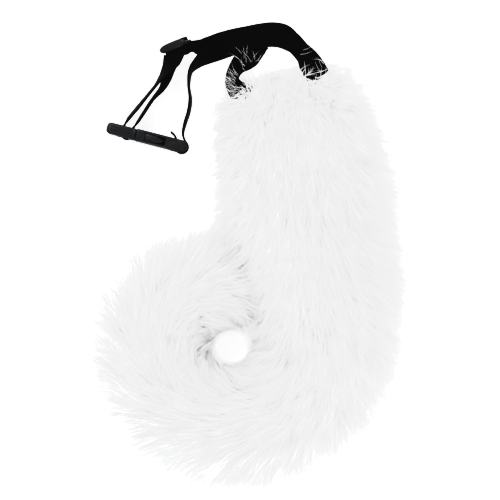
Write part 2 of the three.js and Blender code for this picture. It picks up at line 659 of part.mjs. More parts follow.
function housing() {
  const half = BUCKLE_WIDTH / 2;
  const start = mouth + GAP;
  const profile = new THREE.Shape();
  profile.moveTo(start, -endRadius);
  profile.lineTo(housingBar, -endRadius);
  profile.absarc(housingBar, 0, endRadius, -Math.PI / 2, Math.PI / 2);
  profile.lineTo(start, endRadius);
  const side = solidOf(plate(profile, BUCKLE_WIDTH, BUCKLE_EDGE, 0, 2 * CORNER_FACETS));
  const outline = roundedOutline(start, housingEnd, -half, half, HOUSING_CORNER);
  const face = faceOn(plate(outline, 2 * BUCKLE_THICKNESS, 0, 0));
  const innerHalf = endRadius - HOUSING_WALL;
  const depth = WINDOW_START + WINDOW_LENGTH;
  const cavity = box(2 * depth, 2 * innerHalf, BUCKLE_WIDTH - 2 * HOUSING_WALL, start, 0, 0);
  const windowMiddle = start + WINDOW_START + WINDOW_LENGTH / 2;
  const windows = box(WINDOW_LENGTH, WINDOW_HEIGHT, 2 * BUCKLE_WIDTH, windowMiddle, 0, 0);
  const slotEnd = 2 * endRadius;
  const slot = box(
    SLOT_OPENING + HOUSING_BAR_RADIUS + slotEnd,
    2 * BUCKLE_THICKNESS,
    slotWidth,
    housingBar + (slotEnd - SLOT_OPENING - HOUSING_BAR_RADIUS) / 2,
    0,
    0,
  );
  const bar = crossBar(housingBar, 0, HOUSING_BAR_RADIUS, slotWidth + 2 * GAP);
  return side.intersect(face).subtract(cavity).subtract(windows).subtract(slot).add(bar);
}

// Slider, in its own frame: X along its bars, Y through its slots' row, Z through its thickness

const sliderHeight = 2 * SLIDER_BAR + 2 * SLIDER_SLOT + SLIDER_CENTRE_BAR;
const sliderLength = slotWidth + 2 * SLIDER_RAIL;
const sliderAxis = headingVector(SLIDER_TURN)
  .multiplyScalar(Math.cos(rad(SLIDER_TILT)))
  .addScaledVector(UP, Math.sin(rad(SLIDER_TILT)));
const sliderFront = headingVector(SLIDER_TURN - 90);
const sliderRise = sliderFront.clone().cross(sliderAxis);
const sliderAlong = (sliderLength / 2) * Math.sin(rad(SLIDER_TILT));
const sliderUp = (sliderHeight / 2) * Math.cos(rad(SLIDER_TILT));
const sliderMiddle = beltPoint(SLIDER_AT).setZ(sliderAlong + sliderUp + FLOOR_GAP);
const sliderMatrix = new THREE.Matrix4()
  .makeBasis(sliderAxis, sliderRise, sliderFront)
  .setPosition(sliderMiddle);

function slider() {
  const halfLength = sliderLength / 2;
  const halfHeight = sliderHeight / 2;
  const outline = roundedOutline(-halfLength, halfLength, -halfHeight, halfHeight, SLIDER_CORNER);
  const body = solidOf(plate(outline, SLIDER_THICKNESS, SLIDER_EDGE, 0));
  const offset = (SLIDER_CENTRE_BAR + SLIDER_SLOT) / 2;
  const slot = (side) => box(slotWidth, SLIDER_SLOT, 2 * SLIDER_THICKNESS, 0, side * offset, 0);
  return body.subtract(slot(1)).subtract(slot(-1));
}

// How far from the slider's middle plane or centre bar the first and second layers of webbing lie.
const faceLayer = (layer) =>
  SLIDER_THICKNESS / 2 + GAP + WEBBING_THICKNESS / 2 + layer * (WEBBING_THICKNESS + GAP);
const barLayer = (layer) =>
  SLIDER_CENTRE_BAR / 2 + GAP + WEBBING_THICKNESS / 2 + layer * (WEBBING_THICKNESS + GAP);

function sliderRun(rows, layer) {
  return rows.map((row) => {
    const point = sliderMiddle
      .clone()
      .addScaledVector(sliderRise, row.up * barLayer(layer))
      .addScaledVector(sliderFront, row.out * faceLayer(layer));
    return { point, width: sliderAxis.clone(), stretch: 1, exact: row.exact };
  });
}

// Stations round a bar of the buckle, from one angle in its XY to another, with the webbing standing up.
function barStations(x, y, radius, from, to, widthSign) {
  const up = UP.clone().multiplyScalar(widthSign);
  const steps = Math.round(Math.abs(to - from) / TURN_STEP);
  return Array.from({ length: steps + 1 }, (_, step) => {
    const angle = rad(THREE.MathUtils.lerp(from, to, step / steps));
    const local = new THREE.Vector3(x + radius * Math.cos(angle), y + radius * Math.sin(angle), 0);
    return { point: local.applyMatrix4(buckleMatrix), width: up.clone(), stretch: 1, exact: true };
  });
}

function bucklePlace(x, y, widthSign) {
  const point = new THREE.Vector3(x, y, 0).applyMatrix4(buckleMatrix);
  return { point, width: UP.clone().multiplyScalar(widthSign), stretch: 1 };
}

function strandRun(rows) {
  const half = BUCKLE_WIDTH / 2 + FLOOR_GAP;
  const points = rows.map((row) => beltPoint(row).setZ(row.up * half));
  return runStations(
    points,
    rows.map((row) => row.tilt),
    1,
  );
}

// From its end sewn on the slider's centre bar, round that bar, down to the plug's bar and back up into
// the slider.
function adjusterStations() {
  const radius = wrapRadius(PLUG_BAR_RADIUS);
  return [
    ...sliderRun(SEWN_END, 0),
    ...strandRun(RIGHT_STRAND),
    bucklePlace(plugBar + radius, radius, 1),
    ...barStations(plugBar, -PLUG_BAR_DROP, radius, 0, -180, 1),
    bucklePlace(plugBar - radius, radius, 1),
    ...strandRun(LEFT_STRAND),
    ...sliderRun(INTO_SLIDER, 1),
  ];
}

function waistRuns() {
  const radius = wrapRadius(HOUSING_BAR_RADIUS);
  const besideBar = (row) => bucklePlace(housingBar - row.back * radius, row.aside * radius, -1);
  const turnHome = [
    ...BEFORE_TURN.map(besideBar),
    ...barStations(housingBar, 0, radius, TURN_FROM, TURN_TO, -1),
    ...SEWN_TAB.map(besideBar),
  ];
  return {
    toFold: [...sliderRun(OUT_OF_SLIDER, 1), ...beltRun(FROM_SLIDER, 1)],
    underFold: foldStations(UNDER_FOLD, 1),
    toTail: beltRun(TO_TAIL, -1),
    tailFold: foldStations(TAIL_FOLD, -1),
    fromTail: beltRun(FROM_TAIL, 1),
    turnHome,
  };
}

// The room that the belt takes in the tail's head: a snug slot along each run and a pocket for the fold.
function beltRoom(runs) {
  const width = WEBBING_WIDTH + 2 * GAP;
  const thickness = WEBBING_THICKNESS + 2 * GAP;
  const before = webbing([...runs.toTail.slice(1), runs.tailFold[0]], width, thickness);
  const after = webbing([runs.tailFold[4], ...runs.fromTail.slice(0, 5)], width, thickness);
  const fold = runs.tailFold[2];
  const across = 2 * LAYER_PITCH + 2 * thickness;
  const pocket = new THREE.BoxGeometry(fold.stretch * width, across, LAYER_PITCH + thickness);
  const turn = new THREE.Matrix4().makeBasis(fold.width, UP.clone().cross(fold.width), UP);
  const room = solidOf(pocket, turn.setPosition(fold.point.clone()));
  return before.add(after).add(room);
}

const parts = new THREE.Group();

function addNode(name, solid, material, matrix = new THREE.Matrix4()) {
  const mesh = new THREE.Mesh(geometryOf(solid), material);
  mesh.name = name;
  mesh.applyMatrix4(matrix);
  parts.add(mesh);
}

const furMaterial = new THREE.MeshStandardMaterial({ color: 0xf4f5f7, roughness: 0.95, metalness: 0 });
const webbingMaterial = new THREE.MeshStandardMaterial({ color: 0x0c0c0d, roughness: 0.85, metalness: 0 });
const plasticMaterial = new THREE.MeshStandardMaterial({ color: 0x1b1c1e, roughness: 0.42, metalness: 0 });

const runs = waistRuns();
const waistStations = Object.values(runs).flat();
addNode("fur_tail", furTail(beltRoom(runs)), furMaterial);
addNode("waist_strap", webbing(waistStations, WEBBING_WIDTH, WEBBING_THICKNESS), webbingMaterial);
addNode("adjuster_strap", webbing(adjusterStations(), WEBBING_WIDTH, WEBBING_THICKNESS), webbingMaterial);
addNode("strap_slider", slider(), plasticMaterial, sliderMatrix);
addNode("buckle_plug", plug(), plasticMaterial, buckleMatrix);
addNode("buckle_housing", housing(), plasticMaterial, buckleMatrix);

const footprint = new THREE.Box3().setFromObject(parts).getCenter(new THREE.Vector3());
parts.position.set(-footprint.x, -footprint.y, 0);

export default parts;
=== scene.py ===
import math

import bmesh
import bpy
import numpy as np
from bpy.props import FloatProperty, FloatVectorProperty, IntProperty, PointerProperty
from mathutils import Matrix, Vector


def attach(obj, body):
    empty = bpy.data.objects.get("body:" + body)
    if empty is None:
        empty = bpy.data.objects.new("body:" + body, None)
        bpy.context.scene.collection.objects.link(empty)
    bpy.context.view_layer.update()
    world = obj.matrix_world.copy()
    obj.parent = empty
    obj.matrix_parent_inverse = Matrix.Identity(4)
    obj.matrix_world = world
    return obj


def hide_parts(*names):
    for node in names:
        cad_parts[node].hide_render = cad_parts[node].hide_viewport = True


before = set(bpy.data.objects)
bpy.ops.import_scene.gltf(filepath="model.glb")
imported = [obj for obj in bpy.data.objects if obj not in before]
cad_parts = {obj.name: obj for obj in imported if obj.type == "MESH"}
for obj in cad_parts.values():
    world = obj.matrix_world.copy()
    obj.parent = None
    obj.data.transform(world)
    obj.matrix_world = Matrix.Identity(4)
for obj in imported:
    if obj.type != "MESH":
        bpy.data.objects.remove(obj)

bl_info = {
    "name": "Costume tail",
    "version": (1, 0, 0),
    "blender": (4, 5, 0),
    "location": "3D View > Sidebar > Costume tail",
    "description": "Fur, webbing and plastic for a furred costume tail on a waist belt",
    "category": "Add Mesh",
}

MM = 0.001
UP = np.array([0.0, 0.0, 1.0])

# Sizes in millimetres, as the solid part has them.
FOOTPRINT = np.array([98.4073, 162.3115, 0.0])  # the part's middle, from the tail's own corner
GAP = 0.35
FLOOR_GAP = 0.2
SPINE_SPREAD = 172.0
SPINE_REACH = 340.0
CORE_WIDTH = 124.0
CORE_HEIGHT = 84.0
CORE_SIT = 0.44
HEAD_SHARE = 0.07
WEBBING_WIDTH = 25.0
WEBBING_THICKNESS = 1.5
SHOWN_THICKNESS = 2.0  # with the webbing's nap
LAYER_PITCH = 2.2
BELT_SPREAD = 181.0
BELT_REACH = 79.0
BUCKLE_WIDTH = 33.0
BUCKLE_THICKNESS = 12.6
BUCKLE_TURN = -14.4
PLUG_BASE_LENGTH = 30.0
HOUSING_LENGTH = 53.0
WINDOW_START = 9.35
WINDOW_LENGTH = 21.0
SHADE_PLATE_LEVEL = 4.9  # of the dark plates inside the housing that stand in for the shade in its window, above and below its middle
SHADE_PLATE_THICKNESS = 1.2
SHADE_PLATE_BREADTH = 7.9
PLUG_BAR_FROM_END = 20.4
PLUG_BAR_DROP = 1.6
PLUG_BAR_RADIUS = 3.6
HOUSING_BAR_RADIUS = 5.2
SLIDER_THICKNESS = 3.6
SLIDER_BAR = 2.2
SLIDER_CENTRE_BAR = 3.0
SLIDER_SLOT = 4.2
SLIDER_RAIL = 2.2
SLIDER_TURN = 20.7
SLIDER_TILT = 30.0

# The stuffed core's middle line from the head to the tip: across, along, breadth, height.
SPINE = np.array([
    (0.767, 1.0, 0.6, 0.42),
    (0.773, 0.982, 0.77, 0.52),
    (0.791, 0.941, 0.87, 0.64),
    (0.82, 0.876, 0.93, 0.8),
    (0.849, 0.779, 0.98, 0.95),
    (0.878, 0.662, 1.0, 1.0),
    (0.913, 0.515, 0.95, 1.0),
    (0.965, 0.368, 0.87, 0.97),
    (1.0, 0.235, 0.82, 0.95),
    (0.936, 0.118, 0.76, 0.92),
    (0.785, 0.035, 0.68, 0.88),
    (0.523, 0.0, 0.6, 0.84),
    (0.262, 0.026, 0.58, 0.8),
    (0.087, 0.1, 0.565, 0.78),
    (0.023, 0.206, 0.55, 0.76),
    (0.064, 0.303, 0.52, 0.74),
    (0.192, 0.365, 0.47, 0.7),
    (0.36, 0.385, 0.43, 0.66),
    (0.5, 0.388, 0.33, 0.54),
    (0.568, 0.388, 0.14, 0.32),
])
CROSSING_ROW = 2

# The belt's route: across, along, tilt, layer, lift. It is the solid part's, but for a few rows that turn
# the webbing more nearly as it hangs.
FROM_SLIDER = np.array([
    (-0.563, 0.672, 62, 0, 0),
    (-0.535, 0.69, 70, 0, 0),
    (-0.508, 0.695, 68, 0, 0),
    (-0.486, 0.692, 60, 0, 0),
    (-0.425, 0.696, 35, 0, 0),
    (-0.359, 0.728, 13, 0, 0),
    (-0.287, 0.772, 0, 0, 0),
    (-0.221, 0.802, 0, 0, 0),
])
TO_TAIL = np.array([
    (-0.182, 0.671, 0, 1, 0),
    (-0.215, 0.551, 10, 1, 0),
    (-0.254, 0.437, 36, 1, 0.1),
    (-0.287, 0.329, 56, 1, 0.3),
    (-0.296, 0.215, 56, 1, 0.45),
    (-0.265, 0.114, 38, 1, 0.7),
    (-0.199, 0.057, 14, 1, 0.92),
    (-0.11, 0.063, 0, 1, 1),
    (-0.006, 0.089, 0, 1, 1),
    (0.105, 0.12, 0, 1, 1),
])
FROM_TAIL = np.array([
    (0.177, 0.297, 0, 2, 1.04),
    (0.138, 0.449, -12, 2, 0.87),
    (0.093, 0.605, -48, 1.5, 0.22),
    (0.042, 0.742, -44, 1, 0.02),
    (-0.017, 0.83, -14, 1, 0),
    (-0.077, 0.85, 0, 2.4, 0),
    (-0.149, 0.83, 0, 2.5, 0),
    (-0.221, 0.795, 0, 2.4, 0),
    (-0.298, 0.741, -3, 2.3, 0),
    (-0.37, 0.671, -24, 1.3, 0),
    (-0.436, 0.582, -50, 0.8, 0),
    (-0.483, 0.5, -68, 0, 0),
    (-0.528, 0.386, -83, 0, 0),
    (-0.539, 0.203, -88, 0, 0.02),
    (-0.53, 0.025, -86, 0, 0.06),
    (-0.539, -0.139, -86, 0, 0.11),
    (-0.561, -0.304, -87, 0, 0.15),
])
UNDER_FOLD = {"across": -0.146, "along": 0.812, "layer": 0, "lift": 0, "heading": 3, "leaves": -120}
TAIL_FOLD = {"across": 0.204, "along": 0.15, "layer": 1, "lift": 1, "heading": 7, "leaves": 119}
SLIDER_AT = (-0.606, 0.692)
BUCKLE_AT = (-0.768, -0.475)

# The adjusting strands, close to the solid part's: across, along, tilt, and up as a share of the buckle's
# half width.
RIGHT_STRAND = np.array([
    (-0.63, 0.5, 57, 0.98),
    (-0.65, 0.39, 60, 1),
    (-0.663, 0.278, 66, 1),
    (-0.686, 0.158, 75, 1),
    (-0.738, 0.019, 82, 1),
    (-0.784, -0.139, 82, 1),
    (-0.82, -0.266, 83, 1),
])
LEFT_STRAND = np.array([
    (-0.872, -0.228, 98, 1),
    (-0.822, -0.089, 99, 1),
    (-0.766, 0.07, 97, 1),
    (-0.7215, 0.196, 97, 1),
    (-0.688, 0.31, 103, 1.03),
    (-0.655, 0.42, 120, 1.08),
    (-0.632, 0.52, 140, 1.12),
])

# The webbing's passes of the slider's centre bar: up and out, as shares of the layers' places.
SEWN_END = np.array([
    (-0.25, 1.1), (-0.7, 0.97), (-1, 0.4), (-1, -0.62), (-0.8, -1),
    (0.8, -1), (1, -0.62), (1, 0.6), (1.08, 1.4),
])
INTO_SLIDER = np.array([(1.16, 1.04), (1, 0.37), (1, -0.31), (0.85, -1), (0.4, -1), (0.04, -1)])
OUT_OF_SLIDER = np.array([(-0.04, -1), (-0.4, -1), (-0.85, -1), (-1, -0.31), (-1, 0.37), (-1.045, 0.79)])
SEWN_TAB = ((1.05, 0.75), (1.5, 1.45), (2.2, 1.85))
TURN_FROM = 62
TURN_TO = -186

# The curl's open middle, where the floor shows.
HOLE = np.array([-16.4, -89.4])
HOLE_RADIUS = 17.0


def unit(vectors):
    """Each vector divided by its own length."""
    return vectors / np.maximum(np.linalg.norm(vectors, axis=-1, keepdims=True), 1e-9)


def heading(degrees):
    """A direction on the floor: the cosine and the sine of its angle."""
    return np.array([math.cos(math.radians(degrees)), math.sin(math.radians(degrees)), 0.0])


def curve_through(points, places):
    """A smooth line through a table's rows. Between two rows it is the cubic whose end slopes weigh the
    rows beside them by the square roots of the distances. places counts rows from 0."""
    rows = np.vstack([2 * points[0] - points[1], points, 2 * points[-1] - points[-2]])
    step = np.sqrt(np.linalg.norm(np.diff(rows, axis=0), axis=1))
    step = np.where(step < 1e-4, 1.0, step)
    places = np.clip(places, 0, len(points) - 1)
    first = np.minimum(places.astype(int), len(points) - 2)
    part = (places - first)[:, None]
    before, start, end, after = (rows[first + k] for k in range(4))
    d0, d1, d2 = (step[first + k][:, None] for k in range(3))
    leave = d1 * ((start - before) / d0 - (end - before) / (d0 + d1) + (end - start) / d1)
    arrive = d1 * ((end - start) / d1 - (after - start) / (d1 + d2) + (after - end) / d2)
    return (
        start * (2 * part**3 - 3 * part**2 + 1)
        + leave * (part**3 - 2 * part**2 + part)
        + end * (3 * part**2 - 2 * part**3)
        + arrive * (part**3 - part**2)
    )


LAST_ROW = len(SPINE) - 1
SPINE_LINE = np.column_stack([SPINE[:, 0] * SPINE_SPREAD, SPINE[:, 1] * SPINE_REACH, np.zeros(len(SPINE))])
SPINE_LINE = SPINE_LINE - FOOTPRINT
SPINE_GIRTH = np.column_stack([
    SPINE[:, 2] * CORE_WIDTH / 2,
    SPINE[:, 3] * CORE_HEIGHT,
    np.zeros(len(SPINE)),
])
CROSSING = SPINE_LINE[CROSSING_ROW]
CROSSING_HEIGHT = SPINE[CROSSING_ROW, 3] * CORE_HEIGHT * CORE_SIT

sampled_rows = np.linspace(0, LAST_ROW, 2001)
sampled_line = curve_through(SPINE_LINE, sampled_rows)
sampled_length = np.concatenate([[0], np.cumsum(np.linalg.norm(np.diff(sampled_line, axis=0), axis=1))])
TAIL_LENGTH = sampled_length[-1]


def spine_at(distance):
    """The core's frame at shares of its length: middle, direction to the tip, left side, half width and
    height. The direction is the difference of two near points of the middle line."""
    rows = np.interp(np.clip(distance, 0, 1) * TAIL_LENGTH, sampled_length, sampled_rows)
    girth = curve_through(SPINE_GIRTH, rows)
    forward = unit(curve_through(SPINE_LINE, rows + 0.02) - curve_through(SPINE_LINE, rows - 0.02))
    return curve_through(SPINE_LINE, rows), forward, unit(np.cross(UP, forward)), girth[:, 0], girth[:, 1]


def core_points(distance, angle, inset=1.0):
    """Points of the core's skin. A section is an ellipse about its widest height, flat where it would
    sink below the floor; inset draws a point in towards the section's middle."""
    middle, _, left, half, height = spine_at(distance)
    rise = np.maximum(0, CORE_SIT + (1 - CORE_SIT) * np.sin(angle))
    side = -half * np.cos(angle) * inset
    level = height * (CORE_SIT + (rise - CORE_SIT) * inset)
    return middle + left * side[:, None] + UP * level[:, None]


def new_object(name, mesh, material):
    """A mesh as a finished piece that rides on the part."""
    piece = bpy.data.objects.new(name, mesh)
    bpy.context.scene.collection.objects.link(piece)
    mesh.materials.append(material)
    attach(piece, "root")
    return piece


def mesh_from(name, points, faces, uv=None, smooth=True):
    """A mesh from an array of points in millimetres and an array of triangles or quads, with uv given
    for each face's corners under each of its names."""
    mesh = bpy.data.meshes.new(name)
    sides = faces.shape[1]
    mesh.vertices.add(len(points))
    mesh.vertices.foreach_set("co", (points * MM).astype(np.float32).ravel())
    mesh.loops.add(faces.size)
    mesh.loops.foreach_set("vertex_index", faces.astype(np.int32).ravel())
    mesh.polygons.add(len(faces))
    mesh.polygons.foreach_set("loop_start", np.arange(0, faces.size, sides, dtype=np.int32))
    mesh.polygons.foreach_set("use_smooth", np.full(len(faces), smooth))
    for layer_name, corners in (uv or {}).items():
        layer = mesh.uv_layers.new(name=layer_name)
        layer.uv.foreach_set("vector", corners.astype(np.float32).ravel())
    mesh.update(calc_edges=True)
    mesh.validate()
    return mesh


def tube_triangles(many, sides):
    """A closed tube's triangles: two for each side between one ring of points and the next, then a fan at
    each end about its middle point. The middle points are the last two."""
    row, side = np.meshgrid(np.arange(many - 1), np.arange(sides), indexing="ij")
    a, b = row * sides + side, row * sides + (side + 1) % sides
    quads = np.stack([a, b, b + sides, a + sides], axis=-1).reshape(-1, 4)
    around = np.arange(sides)
    beyond = (around + 1) % sides
    first, last = np.full(sides, many * sides), (many - 1) * sides
    fans = np.vstack([
        np.column_stack([first, beyond, around]),
        np.column_stack([first + 1, last + around, last + beyond]),
    ])
    return np.vstack([quads[:, [0, 1, 2]], quads[:, [0, 2, 3]], fans])


# Materials


def new_material(name):
    """An empty surface: its node tree and its shader."""
    material = bpy.data.materials.new(name)
    material.use_nodes = True
    tree = material.node_tree
    return material, tree, tree.nodes["Principled BSDF"]


def node(tree, kind, **settings):
    """A node of a kind, with its own settings set."""
    made = tree.nodes.new(kind)
    for key, value in settings.items():
        setattr(made, key, value)
    return made


def calculate(tree, operation, first, second=None, third=None):
    """A sum, product or other operation on links or numbers, as a link."""
    made = node(tree, "ShaderNodeMath", operation=operation)
    for place, value in enumerate((first, second, third)):
        if value is None:
            continue
        if isinstance(value, bpy.types.NodeSocket):
            tree.links.new(value, made.inputs[place])
        else:
            made.inputs[place].default_value = value
    return made.outputs[0]


def noise(tree, vector, scale, detail=3.0, roughness=0.55):
    """A cloudy value between 0 and 1 at a scale per metre or per map unit."""
    made = node(tree, "ShaderNodeTexNoise")
    made.inputs["Scale"].default_value = scale
    made.inputs["Detail"].default_value = detail
    made.inputs["Roughness"].default_value = roughness
    tree.links.new(vector, made.inputs["Vector"])
    return made.outputs["Fac"]


def ramp(tree, value, stops):
    """A colour that runs through stops of place and colour."""
    made = node(tree, "ShaderNodeValToRGB")
    elements = made.color_ramp.elements
    while len(elements) < len(stops):
        elements.new(0.5)
    for element, (place, colour) in zip(elements, stops):
        element.position = place
        element.color = (*colour, 1.0)
    tree.links.new(value, made.inputs["Fac"])
    return made.outputs["Color"]


def bump(tree, shader, height, distance, strength=1.0):
    """Relief on a shader from a height link, its depth in metres."""
    made = node(tree, "ShaderNodeBump")
    made.inputs["Distance"].default_value = distance
    made.inputs["Strength"].default_value = strength
    tree.links.new(height, made.inputs["Height"])
    tree.links.new(made.outputs["Normal"], shader.inputs["Normal"])


def object_places(tree):
    """The surface's own place on the object, in metres."""
    return node(tree, "ShaderNodeTexCoord").outputs["Object"]


def scaled_colour(colour, factor):
    """A colour with each of its parts multiplied by a factor."""
    return tuple(min(1.0, part * factor) for part in colour)


def fur_material(colour):
    """Soft white pile that light passes through: a tone for each strand, partly painted shade, darker and
    cooler towards its root as painted shade, and light scattered under its surface."""
    material, tree, shader = new_material("fur_pile")
    strand = node(tree, "ShaderNodeSeparateXYZ")
    tree.links.new(node(tree, "ShaderNodeUVMap", uv_map="strand").outputs["UV"], strand.inputs[0])
    # The tone's dark end, down to 0.6 of the colour, shows the painted shade that fur_zone sets near the
    # curl's middle, the crease and the parting; elsewhere the tone differs at random.
    tone = ramp(tree, strand.outputs[0], [
        (0.0, scaled_colour(colour, 0.6)),
        (0.24, scaled_colour(colour, 0.93)),
        (0.5, colour),
        (1.0, scaled_colour(colour, 1.01)),
    ])
    # Painted shade: each strand darker and cooler towards its root, where the pile shades it.
    shade = ramp(tree, strand.outputs[1], [(0.0, (0.975, 0.98, 0.985)), (0.5, (1.0, 1.0, 1.0))])
    mix = node(tree, "ShaderNodeMix", data_type="RGBA", blend_type="MULTIPLY")
    mix.inputs["Factor"].default_value = 1.0
    tree.links.new(tone, mix.inputs["A"])
    tree.links.new(shade, mix.inputs["B"])
    tree.links.new(mix.outputs["Result"], shader.inputs["Base Color"])
    shader.inputs["Roughness"].default_value = 0.6
    shader.inputs["Specular IOR Level"].default_value = 0.25
    shader.inputs["Sheen Weight"].default_value = 0.2
    shader.inputs["Sheen Roughness"].default_value = 0.5
    shader.inputs["Subsurface Weight"].default_value = 0.5
    shader.inputs["Subsurface Radius"].default_value = (1.0, 1.0, 1.0)
    shader.inputs["Subsurface Scale"].default_value = 0.003
    return material


def backing_material(colour, glow):
    """Knitted white backing under the pile, with a cloudy tone, its colour darkened to about a third of the
    pile's. It glows a little: painted light, standing in for light that has come through the translucent
    pile."""
    material, tree, shader = new_material("fur_backing")
    places = object_places(tree)
    cloud = noise(tree, places, 60.0)
    # The backing's colour is held at about a third of the pile's, so that its glow more than its lighting
    # sets the grey of the gaps between tufts.
    tone = ramp(tree, cloud, [(0.3, scaled_colour(colour, 0.27)), (0.7, scaled_colour(colour, 0.33))])
    tree.links.new(tone, shader.inputs["Base Color"])
    shader.inputs["Roughness"].default_value = 0.85
    shader.inputs["Specular IOR Level"].default_value = 0.1
    # Painted light: the backing glows, so the gaps between tufts show light grey rather than their shade.
    shader.inputs["Emission Color"].default_value = (1.0, 1.0, 1.0, 1.0)
    shader.inputs["Emission Strength"].default_value = glow
    bump(tree, shader, noise(tree, places, 900.0, detail=4.0), 0.0008)
    return material


def webbing_material(colour):
    """Black woven webbing: a herringbone of ridges from the map's own millimetres and a little
    fluff."""
    material, tree, shader = new_material("woven_webbing")
    place = node(tree, "ShaderNodeSeparateXYZ")
    tree.links.new(node(tree, "ShaderNodeUVMap", uv_map="weave").outputs["UV"], place.inputs[0])
    across, along = place.outputs[0], place.outputs[1]
    zigzag = calculate(tree, "PINGPONG", across, 3.1)
    phase = calculate(tree, "MULTIPLY_ADD", zigzag, 0.55, calculate(tree, "MULTIPLY", along, 0.75))
    ridge = calculate(tree, "SINE", calculate(tree, "MULTIPLY", phase, 2 * math.pi))
    warp = calculate(tree, "SINE", calculate(tree, "MULTIPLY", across, 2 * math.pi / 0.8))
    relief = calculate(tree, "MULTIPLY_ADD", warp, 0.35, ridge)
    fluff = noise(tree, object_places(tree), 700.0)
    height = calculate(tree, "MULTIPLY_ADD", fluff, 0.8, relief)
    # Painted highlight: the weave's ridges are lighter in colour, as where light catches them; the fluff's
    # cloudy tone is the webbing's own.
    ridge_highlight_and_fluff = calculate(tree, "MULTIPLY_ADD", relief, 0.16, calculate(tree, "MULTIPLY", fluff, 0.9))
    tone = ramp(tree, ridge_highlight_and_fluff, [
        (0.15, scaled_colour(colour, 0.55)),
        (0.5, colour),
        (0.85, scaled_colour(colour, 2.1)),
    ])
    tree.links.new(tone, shader.inputs["Base Color"])
    shader.inputs["Roughness"].default_value = 0.72
    shader.inputs["Specular IOR Level"].default_value = 0.05
    bump(tree, shader, height, 0.00012)
    return material


def plastic_material(colour):
    """Moulded black acetal: a fine spark-eroded grain, faint flow clouds and scuffs that dull it."""
    material, tree, shader = new_material("moulded_plastic")
    places = object_places(tree)
    cloud = noise(tree, places, 45.0)
    tone = ramp(tree, cloud, [(0.3, scaled_colour(colour, 0.8)), (0.75, scaled_colour(colour, 1.25))])
    tree.links.new(tone, shader.inputs["Base Color"])
    scuff = noise(tree, places, 260.0, detail=6.0, roughness=0.7)
    dull = node(tree, "ShaderNodeMapRange")
    dull.inputs["To Min"].default_value = 0.2
    dull.inputs["To Max"].default_value = 0.42
    tree.links.new(scuff, dull.inputs["Value"])
    tree.links.new(dull.outputs["Result"], shader.inputs["Roughness"])
    shader.inputs["Specular IOR Level"].default_value = 0.24
    bump(tree, shader, noise(tree, places, 2600.0, detail=2.0), 0.00004)
    return material


# Tail


# Where the strap presses the core down: the two ends of a line from above, its reach and its height.
PRESSED = (
    ((51.6, 209.6), (68.6, 183.6), 11.0, 21.0),
    ((-12.4, 185.6), (-16.4, 167.6), 9.0, 12.0),
)
PRESSED_SLOPE = 1.6
DIMPLE_DEPTH = 0.5
LOWEST_SKIN = 0.3


def line_distance(places, start, end):
    """How far places lie from a line between two ends, on the floor."""
    start, end = np.array(start), np.array(end)
    along = ((places - start) @ (end - start) / max(((end - start) ** 2).sum(), 1e-6)).clip(0, 1)
    return np.linalg.norm(places - start - along[..., None] * (end - start), axis=-1)


def build_core(settings):
    """The stuffed core's skin: sections along the middle line, drawn in to a rounded cap at each end by
    the square root of one minus the square of the distance past it, and dimpled by slow waves."""
    sides, steps, cap_steps = 56, 150, 7
    distance = np.linspace(0, 1, steps)
    cap = np.sin(np.linspace(0.12, 1, cap_steps, endpoint=False) * np.pi / 2)
    row_distance = np.concatenate([np.zeros(cap_steps), distance, np.ones(cap_steps)])
    row_inset = np.concatenate([cap, np.ones(steps), cap[::-1]])
    row_out = np.concatenate([-np.sqrt(1 - cap**2), np.zeros(steps), np.sqrt(1 - cap[::-1] ** 2)])
    angle = np.arange(sides) / sides * 2 * np.pi - np.pi / 2
    many = len(row_distance)
    grid_distance = np.repeat(row_distance, sides)
    grid_angle = np.tile(angle, many)
    inset = np.repeat(row_inset, sides) * settings.core_share
    points = core_points(grid_distance, grid_angle, inset)
    _, forward, _, half, _ = spine_at(grid_distance)
    reach = np.minimum(half * 0.35, 9.0)
    points += forward * (np.repeat(row_out, sides) * reach)[:, None]
    dimple = np.sin(grid_distance * 61 + 2 * np.sin(grid_angle * 3))
    dimple = dimple + np.sin(grid_distance * 37 - grid_angle * 2)
    outward = points - core_points(grid_distance, grid_angle, 0.5)
    points += unit(outward) * (dimple * DIMPLE_DEPTH)[:, None]
    for start, end, reach, level in PRESSED:
        free = np.maximum(0, line_distance(points[:, :2], start, end) - reach)
        points[:, 2] = np.minimum(points[:, 2], level + PRESSED_SLOPE * free)
    points[:, 2] = np.maximum(points[:, 2], LOWEST_SKIN)
    ends = np.vstack([points[:sides].mean(0), points[-sides:].mean(0)])
    mesh = mesh_from("tail_core", np.vstack([points, ends]), tube_triangles(many, sides)[:, ::-1])
    core = new_object("tail_core", mesh, backing_material(settings.fur_colour, settings.backing_glow))
    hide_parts("fur_tail")


def skin_frame(distance, angle, inset):
    """Roots of the hair on the skin, with the skin's outward direction and the direction to the tip."""
    _, forward, left, half, height = spine_at(distance)
    outward = unit(
        -left * (np.cos(angle) / half)[:, None] + UP * (np.sin(angle) / (height / 2))[:, None]
    )
    return core_points(distance, angle, inset), outward, forward, unit(np.cross(outward, forward))


def hair_lines(distance, angle, inset, lean, sway, length, droop, sweep, parts):
    """Middle lines of hairs: each leaves its root between the skin's outward direction and the tip by its
    lean, turned aside by its sway, and bends down and on with the square of the way along it."""
    roots, outward, forward, aside = skin_frame(distance, angle, inset)
    direction = outward * np.cos(lean)[:, None] + forward * np.sin(lean)[:, None]
    direction = unit(direction + aside * np.tan(sway)[:, None])
    steep = -roots[:, 2] / np.maximum(length, 1.0) - 0.12
    direction[:, 2] = np.maximum(direction[:, 2], steep)
    direction = unit(direction)
    way = parts[None, :, None] * length[:, None, None]
    bend = forward * sweep[:, None] - UP * droop[:, None]
    curved = bend[:, None] * (parts**2)[None, :, None] * length[:, None, None]
    return roots[:, None] + direction[:, None] * way + curved


